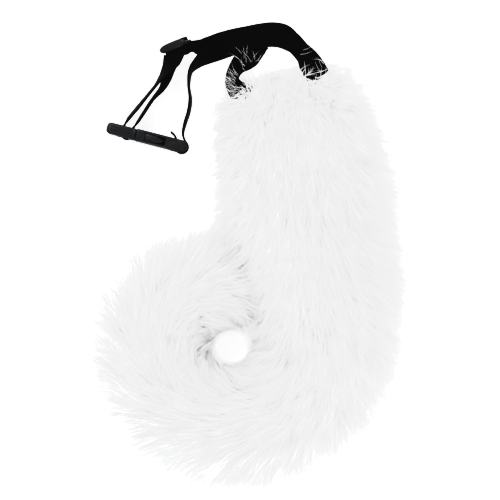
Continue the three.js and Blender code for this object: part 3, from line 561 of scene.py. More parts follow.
def clear_hole(lines, share):
    """Lines pushed out of the curl's open middle: a point nearer to its centre than the hole's edge goes
    straight out to the edge. A hair that still crosses the middle is shortened towards its root."""
    away = lines[:, :, :2] - HOLE
    far = np.linalg.norm(away, axis=2)
    edge = HOLE_RADIUS * share[:, None]
    push = np.maximum(far, edge) / np.maximum(far, 1e-6)
    lines[:, :, :2] = HOLE + away * push[:, :, None]
    for _ in range(CROSSING_CUTS):
        start, step = lines[:, :-1, :2], np.diff(lines[:, :, :2], axis=1)
        along = ((HOLE - start) * step).sum(2) / np.maximum((step**2).sum(2), 1e-6)
        nearest = start + step * along.clip(0, 1)[:, :, None]
        across = np.linalg.norm(nearest - HOLE, axis=2).min(axis=1) < HOLE_RADIUS * CROSSING_EDGE
        lines[across] = lines[across, :1] + (lines[across] - lines[across, :1]) * CROSSING_CUT
    return lines


def held_in(lines):
    """Hairs that reach past the pile's outer limits, shortened towards their roots to end there."""
    for axis, limit in enumerate(PILE_LIMITS):
        root, point = np.abs(lines[:, 0, axis]), np.abs(lines[:, -1, axis])
        past = point > limit
        share = np.where(past, (limit - root) / np.maximum(point - root, 1e-6), 1.0).clip(0.2, 1)
        lines = lines[:, :1] + (lines - lines[:, :1]) * share[:, None, None]
    return lines


def needles(lines, radius, roundness, spin):
    """Closed three-sided hairs round middle lines: a triangle of points about each part of a line but the
    last, which is the hair's point. Returns points, triangles, and the triangles of one hair."""
    count, parts, _ = lines.shape
    tangent = unit(np.gradient(lines, axis=1))
    reference = unit(np.column_stack([np.cos(spin), np.sin(spin), 0.35 * np.sin(3 * spin)]))[:, None]
    first = unit(np.cross(tangent, np.broadcast_to(reference, tangent.shape)))
    second = np.cross(tangent, first)
    turn = np.arange(3) * 2 * np.pi / 3
    size = radius[:, None] * roundness[None, :]
    ring = (
        first[:, :-1, None] * np.cos(turn)[None, None, :, None]
        + second[:, :-1, None] * np.sin(turn)[None, None, :, None]
    ) * size[:, :-1, None, None]
    rings = lines[:, :-1, None] + ring
    points = np.concatenate([rings.reshape(count, -1, 3), lines[:, -1:]], axis=1)
    each = 3 * (parts - 1)
    faces = [(0, 2, 1)]
    for part in range(parts - 2):
        for side in range(3):
            a, b = 3 * part + side, 3 * part + (side + 1) % 3
            faces += [(a, b, b + 3), (a, b + 3, a + 3)]
    top = 3 * (parts - 2)
    faces += [(top + side, top + (side + 1) % 3, each) for side in range(3)]
    faces = np.array(faces)
    triangles = (np.arange(count)[:, None, None] * (each + 1) + faces[None]).reshape(-1, 3)
    return points.reshape(-1, 3), triangles, faces


def strand_map(tone, faces, parts):
    """Each corner's place on the fur's map: across is the strand's tone, up is the way along it."""
    up = np.concatenate([np.repeat(parts[:-1], 3), parts[-1:]])
    offset = np.concatenate([np.tile([-0.004, 0.0, 0.004], len(parts) - 1), [0.0]])
    u = tone[:, None, None] + offset[faces][None]
    v = np.broadcast_to(up[faces][None], u.shape)
    return np.stack([u, v], axis=-1).reshape(-1, 2)


HAIR_PARTS = np.array([0.0, 0.36, 0.7, 1.0])
HAIR_ROUNDNESS = np.array([1.0, 0.86, 0.52, 0.0])
HAIRS_IN_TUFT = 14

# The fur's pieces: name, the shares of the tail's length that it covers, and its share of hairs.
FUR_ZONES = (
    ("fur_head", 0.0, 0.135, 1.14),
    ("fur_upper", 0.135, 0.27, 1.0),
    ("fur_middle", 0.27, 0.42, 1.0),
    ("fur_bend", 0.42, 0.6, 1.0),
    ("fur_curl", 0.6, 0.8, 1.0),
    ("fur_tip", 0.8, 1.0, 0.86),
)
BELT_TO = 0.2  # shares of the tail's length: where the belt ends, the body ends and the bend starts
BODY_TO = 0.36
BEND_FROM = 0.42
HEAD_DENSITY = 1.6  # of the tufts at the head, against the rest

# How the tufts stand: angles in degrees, lengths as shares of the pile, and places on the floor and the
# shortest tuft in millimetres.
ROOTS_FROM = -40
ROOTS_TO = 220
HEAD_CAP = {"tufts": 0.16, "distance": 0.0, "way": -1, "length": 0.5}
TIP_CAP = {"tufts": 0.1, "distance": 1.0, "way": 1, "length": 0.8}
NO_CAP = {"tufts": 0.0, "distance": 1.0, "way": 1, "length": 0.8}
CAP_LEAN = 70
CAP_LEAN_LESS = 50
CAP_SCATTER = 8
CREST_LEAN = 30
TUFT_SCATTER = 11
HEAD_TURN = 1.9  # the head's hair leans back over the belt
HEAD_SCATTER = 20
CREST_SHORTER = 0.16
LENGTH_SCATTER = 0.13
HEAD_SHORTER = 0.25
SIDE_COSINE = 0.4  # beyond it a tuft stands on the tail's side
LEFT_LENGTH = 0.7
BESIDE_TIP_LENGTH = 0.65
BESIDE_TIP_ALONG = -38.0  # the middle and the reach of the stretch that the tip lies against
BESIDE_TIP_REACH = 54.0
OUTER_LONGER = 0.34
OUTER_RIGHT_END = 70.0
OUTER_FROM = -20.0
OUTER_FULL_AFTER = 60.0
SHORTEST_TUFT = 9.0

# How a hair differs from its tuft: angles in degrees, and lengths, heights and limits in millimetres unless
# they are shares.
LOOSE_SCATTER = 1.6
LOOSE_WANDER = 2.4
HAIR_LEAN_SCATTER = 7
HAIR_SWAY_SCATTER = 8
MOST_SWAY = 1.2  # in radians
SHORTEST_REACH = 0.64
REACH_SPREAD = 0.72
REACH_POWER = 2.2
SHORTEST_HAIR = 5.0
LONGEST_HAIR = 1.4  # as a share of the pile
PULL = (0.3, 0.85)
PULL_POWER = 1.3
LOWEST_HAIR = 0.7
HIGHEST_HAIR = 110.0
PILE_LIMITS = (168.0, 252.0)  # half the pile's greatest spread and reach
CROSSING_CUTS = 4
CROSSING_CUT = 0.65
CROSSING_EDGE = 0.93
USUAL_TONE = 0.52
TONE_SCATTER = 0.08
DARKEST_TONE = 0.34


def spread_over(random, start, end, count):
    """Places along a stretch of the tail, as dense as its girth is wide there, and denser at the head."""
    ticks = np.linspace(start, end, 200)
    weight = np.cumsum(spine_at(ticks)[3] * np.where(ticks < HEAD_SHARE, HEAD_DENSITY, 1.0))
    return np.interp(random.random(count) * weight[-1], weight, ticks)


# Painted shade: strands greyed round the curl's middle, in the crease between the tip and the body, and
# in the parting at the head, where the pile shades itself. The two ends of a line from above, its reach and
# its depth.
PAINTED_SHADE = (
    ((-16.4, -89.4), (-16.4, -89.4), 56.0, 0.62),
    ((32.6, 0.6), (19.6, -42.4), 12.0, 0.25),
    ((19.6, -42.4), (11.6, -76.4), 12.0, 0.3),
    ((64.6, 169.6), (64.6, 147.6), 7.0, 0.5),
)


def tuft_roots(random, start, end, cap, tufts):
    """Where tufts stand: shares of the tail's length, angles round it, how far in from the skin, and which
    stand on an end's cap. On a cap they are spread by the square root, which is even over a disc."""
    distance = spread_over(random, start, end, tufts)
    angle = np.radians(random.uniform(ROOTS_FROM, ROOTS_TO, tufts))
    capped = random.random(tufts) < cap["tufts"]
    inset = np.where(capped, np.sqrt(random.random(tufts)), 1.0)
    distance = np.where(capped, cap["distance"], distance)
    angle = np.where(capped, np.radians(random.uniform(0, 360, tufts)), angle)
    return distance, angle, inset, capped


def tuft_leans(settings, random, distance, angle, inset, capped, cap):
    """How far tufts lean to the tip: the settings' lean, more on the crest by the square of its rise, and
    turned over towards the belt at the head."""
    tufts = len(distance)
    headward = np.clip(1 - distance / HEAD_SHARE, 0, 1)
    crest = np.radians(CREST_LEAN) * np.maximum(np.sin(angle), 0) ** 2
    lean = settings.lean + crest + np.radians(TUFT_SCATTER) * random.normal(size=tufts)
    at_head = np.radians(HEAD_SCATTER) * (headward > 0) * random.normal(size=tufts)
    lean = lean * (1 - HEAD_TURN * headward) + at_head
    cap_lean = np.radians(CAP_LEAN - CAP_LEAN_LESS * inset) * cap["way"]
    return np.where(capped, cap_lean + np.radians(CAP_SCATTER) * random.normal(size=tufts), lean)


def tuft_lengths(settings, random, distance, angle, inset, capped, cap):
    """The pile's length at tufts: shorter on the crest, at the head, on the body's left and beside the tip,
    longer outside the curl, and no longer than the curl's open middle leaves room for."""
    headward = np.clip(1 - distance / HEAD_SHARE, 0, 1)
    crest = 1 - CREST_SHORTER * np.maximum(np.sin(angle), 0)
    length = settings.pile * crest * (1 + LENGTH_SCATTER * random.normal(size=len(distance)))
    length = length * (1 - HEAD_SHORTER * headward)
    length = np.where(capped, settings.pile * cap["length"], length)

    root = core_points(distance, angle, inset)
    toward = HOLE - root[:, :2]
    room = np.linalg.norm(toward, axis=1) - HOLE_RADIUS
    outward = unit((root - spine_at(distance)[0])[:, :2])
    steepness = np.abs(np.cos(angle))
    on_side = steepness > SIDE_COSINE
    facing = np.clip((outward * unit(toward)).sum(1), 0, 1) * (steepness > 0.3)
    left_side = (distance < BODY_TO) & (outward[:, 0] < -0.3) & on_side
    length = np.where(left_side, length * LEFT_LENGTH, length)
    beside_tip = (distance < BEND_FROM) & (outward[:, 0] < -0.4) & on_side
    beside_tip &= np.abs(root[:, 1] - BESIDE_TIP_ALONG) < BESIDE_TIP_REACH
    length = np.where(beside_tip, length * BESIDE_TIP_LENGTH, length)
    outer = (distance > BEND_FROM) & on_side & (root[:, 0] < OUTER_RIGHT_END)
    outer &= (outward * unit(-toward)).sum(1) > 0.3
    lower = ((OUTER_FROM - root[:, 1]) / OUTER_FULL_AFTER).clip(0, 1)
    length = np.where(outer, length * (1 + OUTER_LONGER * lower), length)
    most = np.maximum(room * 1.25 / facing.clip(0.4, 1), SHORTEST_TUFT)
    return np.where(facing > 0.35, np.minimum(length, most), length)


def fur_zone(settings, random, start, end, count):
    """Hair lines, thickness and tone for one stretch. Tufts are scattered over the skin, and each hair is
    drawn from its own line towards its tuft's line, more and more towards its point."""
    tufts = count // HAIRS_IN_TUFT
    cap = HEAD_CAP if start == 0 else TIP_CAP if end == 1 else NO_CAP
    distance, angle, inset, capped = tuft_roots(random, start, end, cap, tufts)
    lean = tuft_leans(settings, random, distance, angle, inset, capped, cap)
    sway = np.radians(TUFT_SCATTER) * random.normal(size=tufts)
    length = tuft_lengths(settings, random, distance, angle, inset, capped, cap)

    hairs = tufts * HAIRS_IN_TUFT
    owner = np.repeat(np.arange(tufts), HAIRS_IN_TUFT)
    on_cap = capped[owner]
    loose = random.random(hairs) < settings.loose_share
    scatter = settings.tuft_radius * np.where(loose, LOOSE_SCATTER, 1.0)
    hair_distance = distance[owner] + random.normal(size=hairs) * scatter / TAIL_LENGTH
    hair_distance = np.where(on_cap, distance[owner], np.clip(hair_distance, 0.0, 1.0))
    girth = spine_at(distance)[3][owner].clip(14, None)
    hair_angle = angle[owner] + random.normal(size=hairs) * scatter / girth
    hair_inset = np.clip(inset[owner] + np.where(on_cap, random.normal(size=hairs) * 0.1, 0), 0.05, 1.0)
    wander = np.where(loose, LOOSE_WANDER, 1.0)
    hair_lean = lean[owner] + np.radians(HAIR_LEAN_SCATTER) * wander * random.normal(size=hairs)
    hair_sway = sway[owner] + np.radians(HAIR_SWAY_SCATTER) * wander * random.normal(size=hairs)
    hair_sway = np.clip(hair_sway, -MOST_SWAY, MOST_SWAY)
    reach = SHORTEST_REACH + REACH_SPREAD * random.random(hairs) ** REACH_POWER
    hair_length = np.clip(length[owner] * reach, SHORTEST_HAIR, settings.pile * LONGEST_HAIR)
    droop = 0.13 + 0.12 * np.abs(np.cos(hair_angle)) + 0.04 * random.normal(size=hairs)
    sweep = 0.16 + 0.08 * random.normal(size=hairs)

    own = hair_lines(
        hair_distance, hair_angle, hair_inset, hair_lean, hair_sway, hair_length, droop, sweep, HAIR_PARTS
    )
    tuft = hair_lines(
        distance, angle, inset, lean, sway, length, np.full(tufts, 0.2), np.full(tufts, 0.16), HAIR_PARTS
    )[owner]
    pull = np.where(loose, 0.0, random.uniform(*PULL, hairs))[:, None] * HAIR_PARTS[None] ** PULL_POWER
    lines = own + (tuft - own) * pull[:, :, None]
    lines = held_in(clear_hole(lines, random.uniform(1.0, 1.3, hairs)))
    lines[:, :, 2] = lines[:, :, 2].clip(LOWEST_HAIR, HIGHEST_HAIR)
    radius = settings.strand / 2 * random.uniform(0.65, 1.2, hairs) * (1.25 - 0.55 * reach)
    tone = USUAL_TONE + TONE_SCATTER * random.normal(size=tufts)[owner]
    tone = np.maximum(tone + TONE_SCATTER * random.normal(size=hairs), DARKEST_TONE)
    # Painted shade: a strand's tone is lowered near each of these lines.
    for start_at, end_at, reach_to, depth in PAINTED_SHADE:
        far = line_distance(lines[:, 2, :2], start_at, end_at)
        tone = tone * (1 - depth * np.clip(1 - far / reach_to, 0, 1))
    return lines, radius, np.clip(tone, 0.02, 0.98)


# Where the belt shows black between the hairs, seen from above: the two ends of a line along the strap, its
# reach to each side, and the share of the hairs that is taken off it.
SHOWN_BELT = (
    ((7.6, 211.6), (-12.4, 185.6), 12.0, 0.95),
    ((-12.4, 185.6), (-18.4, 165.6), 8.0, 0.72),
    ((51.6, 209.6), (66.0, 187.0), 10.5, 0.95),
)
HIDES_FROM = 8.0  # the height from which a hair hides the belt


def show_belt(random, lines):
    """Marks the hairs that stay: one whose outer half passes over a stretch where the belt shows is taken
    off, but for the share that is left."""
    keep = np.ones(len(lines), bool)
    for start, end, reach, share in SHOWN_BELT:
        far = line_distance(lines[:, 1:, :2], start, end)
        over = ((far < reach) & (lines[:, 1:, 2] > HIDES_FROM)).any(axis=1)
        keep &= ~(over & (random.random(len(lines)) < share))
    return keep


# Stray hairs over the belt: the middle of their roots from above, their reach, heading in degrees, its
# scatter, length, height and number.
STRAYS = (
    ((-16.0, 170.0), (6.0, 6.0), 155.0, 14.0, 20.0, 30.0, 34),
    ((-9.0, 178.0), (6.0, 5.0), 135.0, 16.0, 17.0, 31.0, 11),
    ((-5.0, 192.0), (5.0, 6.0), 110.0, 26.0, 14.0, 30.0, 7),
    ((5.0, 198.0), (4.0, 5.0), 75.0, 30.0, 11.0, 30.0, 5),
    ((60.0, 182.0), (5.0, 3.0), 75.0, 30.0, 11.0, 36.0, 6),
    ((73.0, 186.0), (3.0, 5.0), 140.0, 26.0, 12.0, 37.0, 6),
    ((52.0, 205.0), (2.0, 2.0), 3.0, 5.0, 15.0, 35.0, 2),
)
STRAY_RADIUS = 0.14
STRAY_TONE = 0.7


def stray_lines(random):
    """Lines of single hairs that lie over the belt: each runs level on its heading and curls aside with
    the square of the way along it, a little arched."""
    made = []
    parts = HAIR_PARTS[None, :, None]
    for middle, reach, turn, turn_scatter, length, level, many in STRAYS:
        place = np.array(middle) + random.normal(size=(many, 2)) * reach
        root = np.column_stack([place, np.full(many, level)])
        angle = np.radians(turn + turn_scatter * random.normal(size=many))
        ahead = np.column_stack([np.cos(angle), np.sin(angle), 0.1 * random.normal(size=many)])[:, None]
        aside = np.column_stack([-np.sin(angle), np.cos(angle), np.full(many, -0.25)])[:, None]
        curl = (0.35 * random.normal(size=many))[:, None, None]
        size = (length * random.uniform(0.6, 1.2, many))[:, None, None]
        made.append(root[:, None] + size * (ahead * parts + aside * curl * parts**2 - UP * 0.25 * parts**2))
    return np.concatenate(made)


def build_fur(settings):
    """The pile in six pieces of closed hairs along the tail."""
    material = fur_material(settings.fur_colour)
    random = np.random.default_rng(settings.seed)
    for name, start, end, share in FUR_ZONES:
        lines, radius, tone = fur_zone(settings, random, start, end, round(settings.hairs * share))
        if start < BELT_TO:
            keep = show_belt(random, lines)
            lines, radius, tone = lines[keep], radius[keep], tone[keep]
        if start == 0:
            strays = stray_lines(random)
            lines = np.concatenate([lines, strays])
            radius = np.concatenate([radius, np.full(len(strays), STRAY_RADIUS)])
            tone = np.concatenate([tone, np.full(len(strays), STRAY_TONE)])
        spin = random.uniform(0, 2 * np.pi, len(lines))
        points, triangles, faces = needles(lines, radius, HAIR_ROUNDNESS, spin)
        corners = strand_map(tone, faces, HAIR_PARTS)
        mesh = mesh_from(name, points, triangles, {"OFBake": corners, "strand": corners})
        new_object(name, mesh, material)


# Webbing


def belt_point(across, along):
    """A place of the belt on the floor: shares of its spread and reach from where it crosses the tail."""
    return CROSSING + np.array([across * BELT_SPREAD, along * BELT_REACH, 0.0])


def strap_height(tilt, layer, lift):
    """The height of a strap's middle: half its section, the layers under it, and its lift."""
    slope = abs(math.sin(math.radians(tilt)))
    resting = FLOOR_GAP + WEBBING_THICKNESS / 2 + WEBBING_WIDTH / 2 * slope
    return resting + layer * LAYER_PITCH + lift * (CROSSING_HEIGHT - LAYER_PITCH)


def run_of(points, tilts, turned):
    """Stations of a run: each middle with its width direction, which is the level side direction tilted
    about the way of the webbing."""
    ahead = np.vstack([points[1:], points[-1:]])
    behind = np.vstack([points[:1], points[:-1]])
    forward = unit(ahead - behind)
    side = unit(np.cross(UP, forward))
    over = np.cross(forward, side)
    tilt = np.radians(tilts)[:, None]
    return points, (side * np.cos(tilt) + over * np.sin(tilt)) * turned, np.ones(len(points))


def belt_run(rows, turned):
    """A run of the belt from its table."""
    points = np.array([
        belt_point(row[0], row[1]) + UP * strap_height(row[2], row[3], row[4]) for row in rows
    ])
    return run_of(points, rows[:, 2], turned)


def strand_run(rows):
    """A run of an adjusting strand from its table."""
    half = BUCKLE_WIDTH / 2 + FLOOR_GAP
    points = np.array([belt_point(row[0], row[1]) + UP * row[3] * half for row in rows])
    return run_of(points, rows[:, 2], 1)


def fold_run(row, turned):
    """A mitred fold: stations on a half circle one layer high, their width along the crease that halves
    the angle between the two headings."""
    crease = heading((row["heading"] + row["leaves"]) / 2)
    side = heading(row["heading"] + 90) * turned
    if crease @ side < 0:
        crease = -crease
    before = heading(row["heading"])
    out = unit(before - crease * (before @ crease))
    stretch = 1 / abs(crease @ side)
    level = strap_height(0, row["layer"], row["lift"]) + LAYER_PITCH / 2
    middle = belt_point(row["across"], row["along"]) + UP * level
    turn = np.radians([-90, -45, 0, 45, 90])[:, None]
    points = middle + (out * np.cos(turn) + UP * np.sin(turn)) * LAYER_PITCH / 2
    return points, np.tile(crease, (5, 1)), np.full(5, stretch)


SLOT_WIDTH = WEBBING_WIDTH + 2 * GAP
SLIDER_HEIGHT = 2 * SLIDER_BAR + 2 * SLIDER_SLOT + SLIDER_CENTRE_BAR
SLIDER_LENGTH = SLOT_WIDTH + 2 * SLIDER_RAIL
SLIDER_LEVEL_SHARE = math.cos(math.radians(SLIDER_TILT))
SLIDER_UP_SHARE = math.sin(math.radians(SLIDER_TILT))
SLIDER_AXIS = heading(SLIDER_TURN) * SLIDER_LEVEL_SHARE + UP * SLIDER_UP_SHARE
SLIDER_FRONT = heading(SLIDER_TURN - 90)
SLIDER_RISE = np.cross(SLIDER_FRONT, SLIDER_AXIS)
SLIDER_LIFT = SLIDER_LENGTH / 2 * SLIDER_UP_SHARE + SLIDER_HEIGHT / 2 * SLIDER_LEVEL_SHARE + FLOOR_GAP
SLIDER_MIDDLE = belt_point(*SLIDER_AT) + UP * SLIDER_LIFT


def face_layer(layer):
    """How far a layer of webbing lies from the slider's middle plane."""
    return SLIDER_THICKNESS / 2 + GAP + WEBBING_THICKNESS / 2 + layer * (WEBBING_THICKNESS + GAP)


def bar_layer(layer):
    """How far a layer of webbing lies from the middle of the slider's centre bar."""
    return SLIDER_CENTRE_BAR / 2 + GAP + WEBBING_THICKNESS / 2 + layer * (WEBBING_THICKNESS + GAP)


def slider_run(rows, layer):
    """A run through the slider from its table."""
    points = (
        SLIDER_MIDDLE
        + SLIDER_RISE * (rows[:, :1] * bar_layer(layer))
        + SLIDER_FRONT * (rows[:, 1:] * face_layer(layer))
    )
    return points, np.tile(SLIDER_AXIS, (len(rows), 1)), np.ones(len(rows))


BUCKLE_MIDDLE = belt_point(*BUCKLE_AT) + UP * (BUCKLE_WIDTH / 2 + FLOOR_GAP)
BUCKLE_LENGTH = PLUG_BASE_LENGTH + HOUSING_LENGTH + GAP
PLUG_END = -BUCKLE_LENGTH / 2
HOUSING_BAR = BUCKLE_LENGTH / 2 - BUCKLE_THICKNESS / 2
PLUG_BAR = PLUG_END + PLUG_BAR_FROM_END


def buckle_run(x, y, width_sign):
    """Stations at places of the buckle's own plan, with the webbing's width standing up."""
    x, y = np.atleast_1d(x).astype(float), np.atleast_1d(y).astype(float)
    along, side = heading(BUCKLE_TURN), heading(BUCKLE_TURN + 90)
    points = BUCKLE_MIDDLE + along * x[:, None] + side * y[:, None]
    return points, np.tile(UP * width_sign, (len(x), 1)), np.ones(len(x))


def bar_run(x, y, radius, start, end, width_sign):
    """Stations round a bar, on a circle about its middle."""
    turn = np.radians(np.linspace(start, end, 1 + round(abs(end - start) / 11)))
    return buckle_run(x + radius * np.cos(turn), y + radius * np.sin(turn), width_sign)


def wrap_radius(bar_radius):
    """The middle of a layer of webbing round a bar."""
    return bar_radius + GAP + WEBBING_THICKNESS / 2


def joined(runs):
    """Runs laid end to end."""
    return tuple(np.concatenate(parts) for parts in zip(*runs))


def waist_route():
    """The waist strap: out of the slider, the flat band, the fold, through the tail's head, the fold in it,
    back over the band, and down to its sewn turn round the housing's bar."""
    radius = wrap_radius(HOUSING_BAR_RADIUS)
    tab = np.array(SEWN_TAB)
    return joined([
        slider_run(OUT_OF_SLIDER, 1),
        belt_run(FROM_SLIDER, 1),
        fold_run(UNDER_FOLD, 1),
        belt_run(TO_TAIL, -1),
        fold_run(TAIL_FOLD, -1),
        belt_run(FROM_TAIL, 1),
        buckle_run(HOUSING_BAR - 0.25 * radius, 1.9 * radius, -1),
        bar_run(HOUSING_BAR, 0, radius, TURN_FROM, TURN_TO, -1),
        buckle_run(HOUSING_BAR - tab[:, 0] * radius, tab[:, 1] * radius, -1),
    ])


def adjuster_route():
    """The adjusting stretch: its end sewn round the slider's centre bar, down to the plug's bar, round it,
    and back up into the slider."""
    radius = wrap_radius(PLUG_BAR_RADIUS)
    return joined([
        slider_run(SEWN_END, 0),
        strand_run(RIGHT_STRAND),
        buckle_run(PLUG_BAR + radius, radius, 1),
        bar_run(PLUG_BAR, -PLUG_BAR_DROP, radius, 0, -180, 1),
        buckle_run(PLUG_BAR - radius, radius, 1),
        strand_run(LEFT_STRAND),
        slider_run(INTO_SLIDER, 1),
    ])


# Half of the webbing's section: places across as shares of half its width, and its half thickness there
# as a share, fuller at the selvedge.
SECTION = np.array([
    (1.0, 0.0), (0.99, 0.5), (0.965, 0.86), (0.93, 1.0), (0.89, 0.9), (0.86, 0.84),
    (0.5, 0.88), (0.0, 0.9), (-0.5, 0.88), (-0.86, 0.84), (-0.89, 0.9), (-0.93, 1.0),
    (-0.965, 0.86), (-0.99, 0.5), (-1.0, 0.0),
])


def build_strap(name, node_name, route, material):
    """Webbing as a rounded flat section carried along its route. The section's width is stretched where
    it is folded on the slant, and the map counts millimetres across and along."""
    points, width, stretch = route
    places = np.linspace(0, len(points) - 1, 6 * (len(points) - 1) + 1)
    line = curve_through(points, places)
    first = np.minimum(places.astype(int), len(points) - 2)
    part = (places - first)[:, None]
    width = unit(width[first] * (1 - part) + width[first + 1] * part)
    stretch = stretch[first] * (1 - part[:, 0]) + stretch[first + 1] * part[:, 0]
    lowest = FLOOR_GAP + (WEBBING_THICKNESS + WEBBING_WIDTH * np.abs(width[:, 2])) / 2
    line[:, 2] = np.maximum(line[:, 2], lowest)
    forward = unit(np.gradient(line, axis=0))
    normal = unit(np.cross(forward, width))
    under = SECTION[1:-1][::-1] * np.array([1, -1])
    section = np.vstack([SECTION, under])
    sides, many = len(section), len(line)
    edge = width * (stretch * WEBBING_WIDTH / 2)[:, None]
    rings = (
        line[:, None]
        + edge[:, None] * section[None, :, :1]
        + normal[:, None] * section[None, :, 1:] * SHOWN_THICKNESS / 2
    )
    travelled = np.concatenate([[0], np.cumsum(np.linalg.norm(np.diff(line, axis=0), axis=1))])
    row, side = np.meshgrid(np.arange(many - 1), np.arange(sides), indexing="ij")
    beyond = (side + 1) % sides
    across = section[:, 0] * WEBBING_WIDTH / 2
    u = np.stack([across[side], across[beyond], across[beyond], across[side]], axis=-1)
    v = np.stack([travelled[row], travelled[row], travelled[row + 1], travelled[row + 1]], axis=-1)
    ends = np.vstack([rings[0].mean(0), rings[-1].mean(0)])
    corners = np.stack([u, v], axis=-1).reshape(-1, 4, 2)
    fan_corners = np.zeros((2 * sides, 3, 2))
    corners = np.vstack([corners[:, [0, 1, 2]], corners[:, [0, 2, 3]], fan_corners])
    points, triangles = np.vstack([rings.reshape(-1, 3), ends]), tube_triangles(many, sides)
    mesh = mesh_from(name, points, triangles, {"weave": corners})
    strap = new_object(name, mesh, material)
    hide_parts(node_name)


def build_webbing(settings):
    """Both stretches of the belt."""
    material = webbing_material(settings.webbing_colour)
    build_strap("waist_webbing", "waist_strap", waist_route(), material)
    build_strap("adjuster_webbing", "adjuster_strap", adjuster_route(), material)


# Buckle and slider


def buckle_box(shape, along, across, up):
    """A box in the buckle's own plan: its middle and its size along the buckle, across it and upwards."""
    ahead, side = heading(BUCKLE_TURN), heading(BUCKLE_TURN + 90)
    for vertex in bmesh.ops.create_cube(shape, size=1.0)["verts"]:
        x, y, z = vertex.co
        place = (
            BUCKLE_MIDDLE
            + ahead * (along[0] + x * along[1])
            + side * (across[0] + y * across[1])
            + UP * (up[0] + z * up[1])
        )
        vertex.co = Vector(place * MM)


def add_shade_plates(shape):
    """Two thin dark plates inside the housing, between its guide tongue's place and each prong's. They stand
    in for the shade inside its window, where the floor would show through.
    """
    middle = PLUG_END + PLUG_BASE_LENGTH + WINDOW_START + WINDOW_LENGTH / 2
    for level in (-SHADE_PLATE_LEVEL, SHADE_PLATE_LEVEL):
        buckle_box(shape, (middle, WINDOW_LENGTH + 2.0), (0.0, SHADE_PLATE_BREADTH), (level, SHADE_PLATE_THICKNESS))


# Moulded ribs on the buckle's narrow sides, in its own plan: first and last place along it from its
# middle, place across, breadth, height and how deep they are sunk in. The two deep ones are the collars
# on both sides of the seam.
RIBS = (
    (-15.2, -12.0, 0.0, 10.8, 0.15, 3.0),
    (-11.2, -8.0, 0.0, 11.4, 0.15, 3.0),
    (-38.0, -16.0, 2.9, 1.0, 0.45, 0.5),
    (-39.0, -16.0, -3.1, 1.2, 0.45, 0.5),
    (-36.0, -17.0, 0.0, 0.7, 0.3, 0.5),
    (-7.4, -3.4, 3.6, 0.9, 0.45, 0.5),
    (-7.4, -3.4, -3.6, 0.9, 0.45, 0.5),
    (20.0, 33.0, 3.4, 1.0, 0.45, 0.5),
    (20.0, 33.0, -3.4, 1.0, 0.45, 0.5),
    (19.4, 21.0, 0.0, 5.0, 0.4, 0.5),
)
SEAM = -12.0  # ribs that start before it are the plug's


def add_ribs(shape, first, last):
    """The ribs that start between two places along the buckle, on both of its narrow sides, sunk into the
    face."""
    for start, end, across, breadth, height, sunk in RIBS:
        if not first <= start < last:
            continue
        level = BUCKLE_WIDTH / 2 + (height - sunk) / 2
        for face in (-1, 1):
            along, up = ((start + end) / 2, end - start), (face * level, height + sunk)
            buckle_box(shape, along, (across, breadth), up)


# The slider's outer bar: half its breadth and depth, how far it lies above the solid's bar and towards the
# back, and how far it passes the solid's ends.
OUTER_BAR_BREADTH = 4.4
OUTER_BAR_DEPTH = 2.1
OUTER_BAR_LIFT = 0.2
OUTER_BAR_BACK = 1.3
OUTER_BAR_PAST = 0.6


def add_slider_bar(shape):
    """The slider's thick outer bar: rings of an oval along its axis, which close in at both ends by the
    square root of one minus the fourth power of the way from the middle."""
    rings, sides = 21, 16
    middle = SLIDER_MIDDLE + SLIDER_RISE * (SLIDER_HEIGHT / 2 + OUTER_BAR_LIFT)
    middle = middle - SLIDER_FRONT * OUTER_BAR_BACK
    way = np.sin(np.linspace(-0.49, 0.49, rings) * np.pi)
    girth = np.sqrt(1 - way**4)
    turn = np.arange(sides) * 2 * np.pi / sides
    centre = middle + SLIDER_AXIS * (way * (SLIDER_LENGTH / 2 + OUTER_BAR_PAST))[:, None]
    breadth = (OUTER_BAR_BREADTH * np.cos(turn))[:, None]
    depth = (OUTER_BAR_DEPTH * np.sin(turn))[:, None]
    oval = SLIDER_FRONT * breadth + SLIDER_RISE * depth
    points = centre[:, None] + oval[None] * girth[:, None, None]
    made = [[shape.verts.new(Vector(point * MM)) for point in ring] for ring in points]
    for ring in range(rings - 1):
        for at in range(sides):
            beyond = (at + 1) % sides
            shape.faces.new((made[ring][at], made[ring][beyond], made[ring + 1][beyond], made[ring + 1][at]))
    shape.faces.new(made[0][::-1])
    shape.faces.new(made[-1])


def build_plastic(settings):
    """The slider and the buckle's halves: the solid part's own shapes with their flats joined up and their
    edges rounded. The buckle also has its ribs and the dark plates that stand in for shade in its window,
    and the slider its outer bar."""
    material = plastic_material(settings.plastic_colour)
    for node_name, name in (
        ("strap_slider", "slider_plastic"),
        ("buckle_plug", "plug_plastic"),
        ("buckle_housing", "housing_plastic"),
    ):
        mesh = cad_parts[node_name].data.copy()
        mesh.name = name
        mesh.materials.clear()
        shape = bmesh.new()
        shape.from_mesh(mesh)
        if node_name == "buckle_housing":
            # Dark plates that stand in for the shade inside the housing's window.
            add_shade_plates(shape)
            add_ribs(shape, SEAM, BUCKLE_LENGTH)
        elif node_name == "buckle_plug":
            add_ribs(shape, -BUCKLE_LENGTH, SEAM)
        else:
            add_slider_bar(shape)
        bmesh.ops.remove_doubles(shape, verts=shape.verts, dist=1e-6)
        bmesh.ops.dissolve_limit(
            shape, angle_limit=math.radians(1.5), verts=shape.verts, edges=shape.edges
        )
        shape.to_mesh(mesh)
        shape.free()
        mesh.polygons.foreach_set("use_smooth", np.ones(len(mesh.polygons), bool))
        piece = new_object(name, mesh, material)
        edge = piece.modifiers.new("rounded_edges", "BEVEL")
        edge.width = settings.edge
        edge.segments = 2
        edge.limit_method = "ANGLE"
        edge.angle_limit = math.radians(35)
        edge.harden_normals = True
        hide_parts(node_name)


# Stage


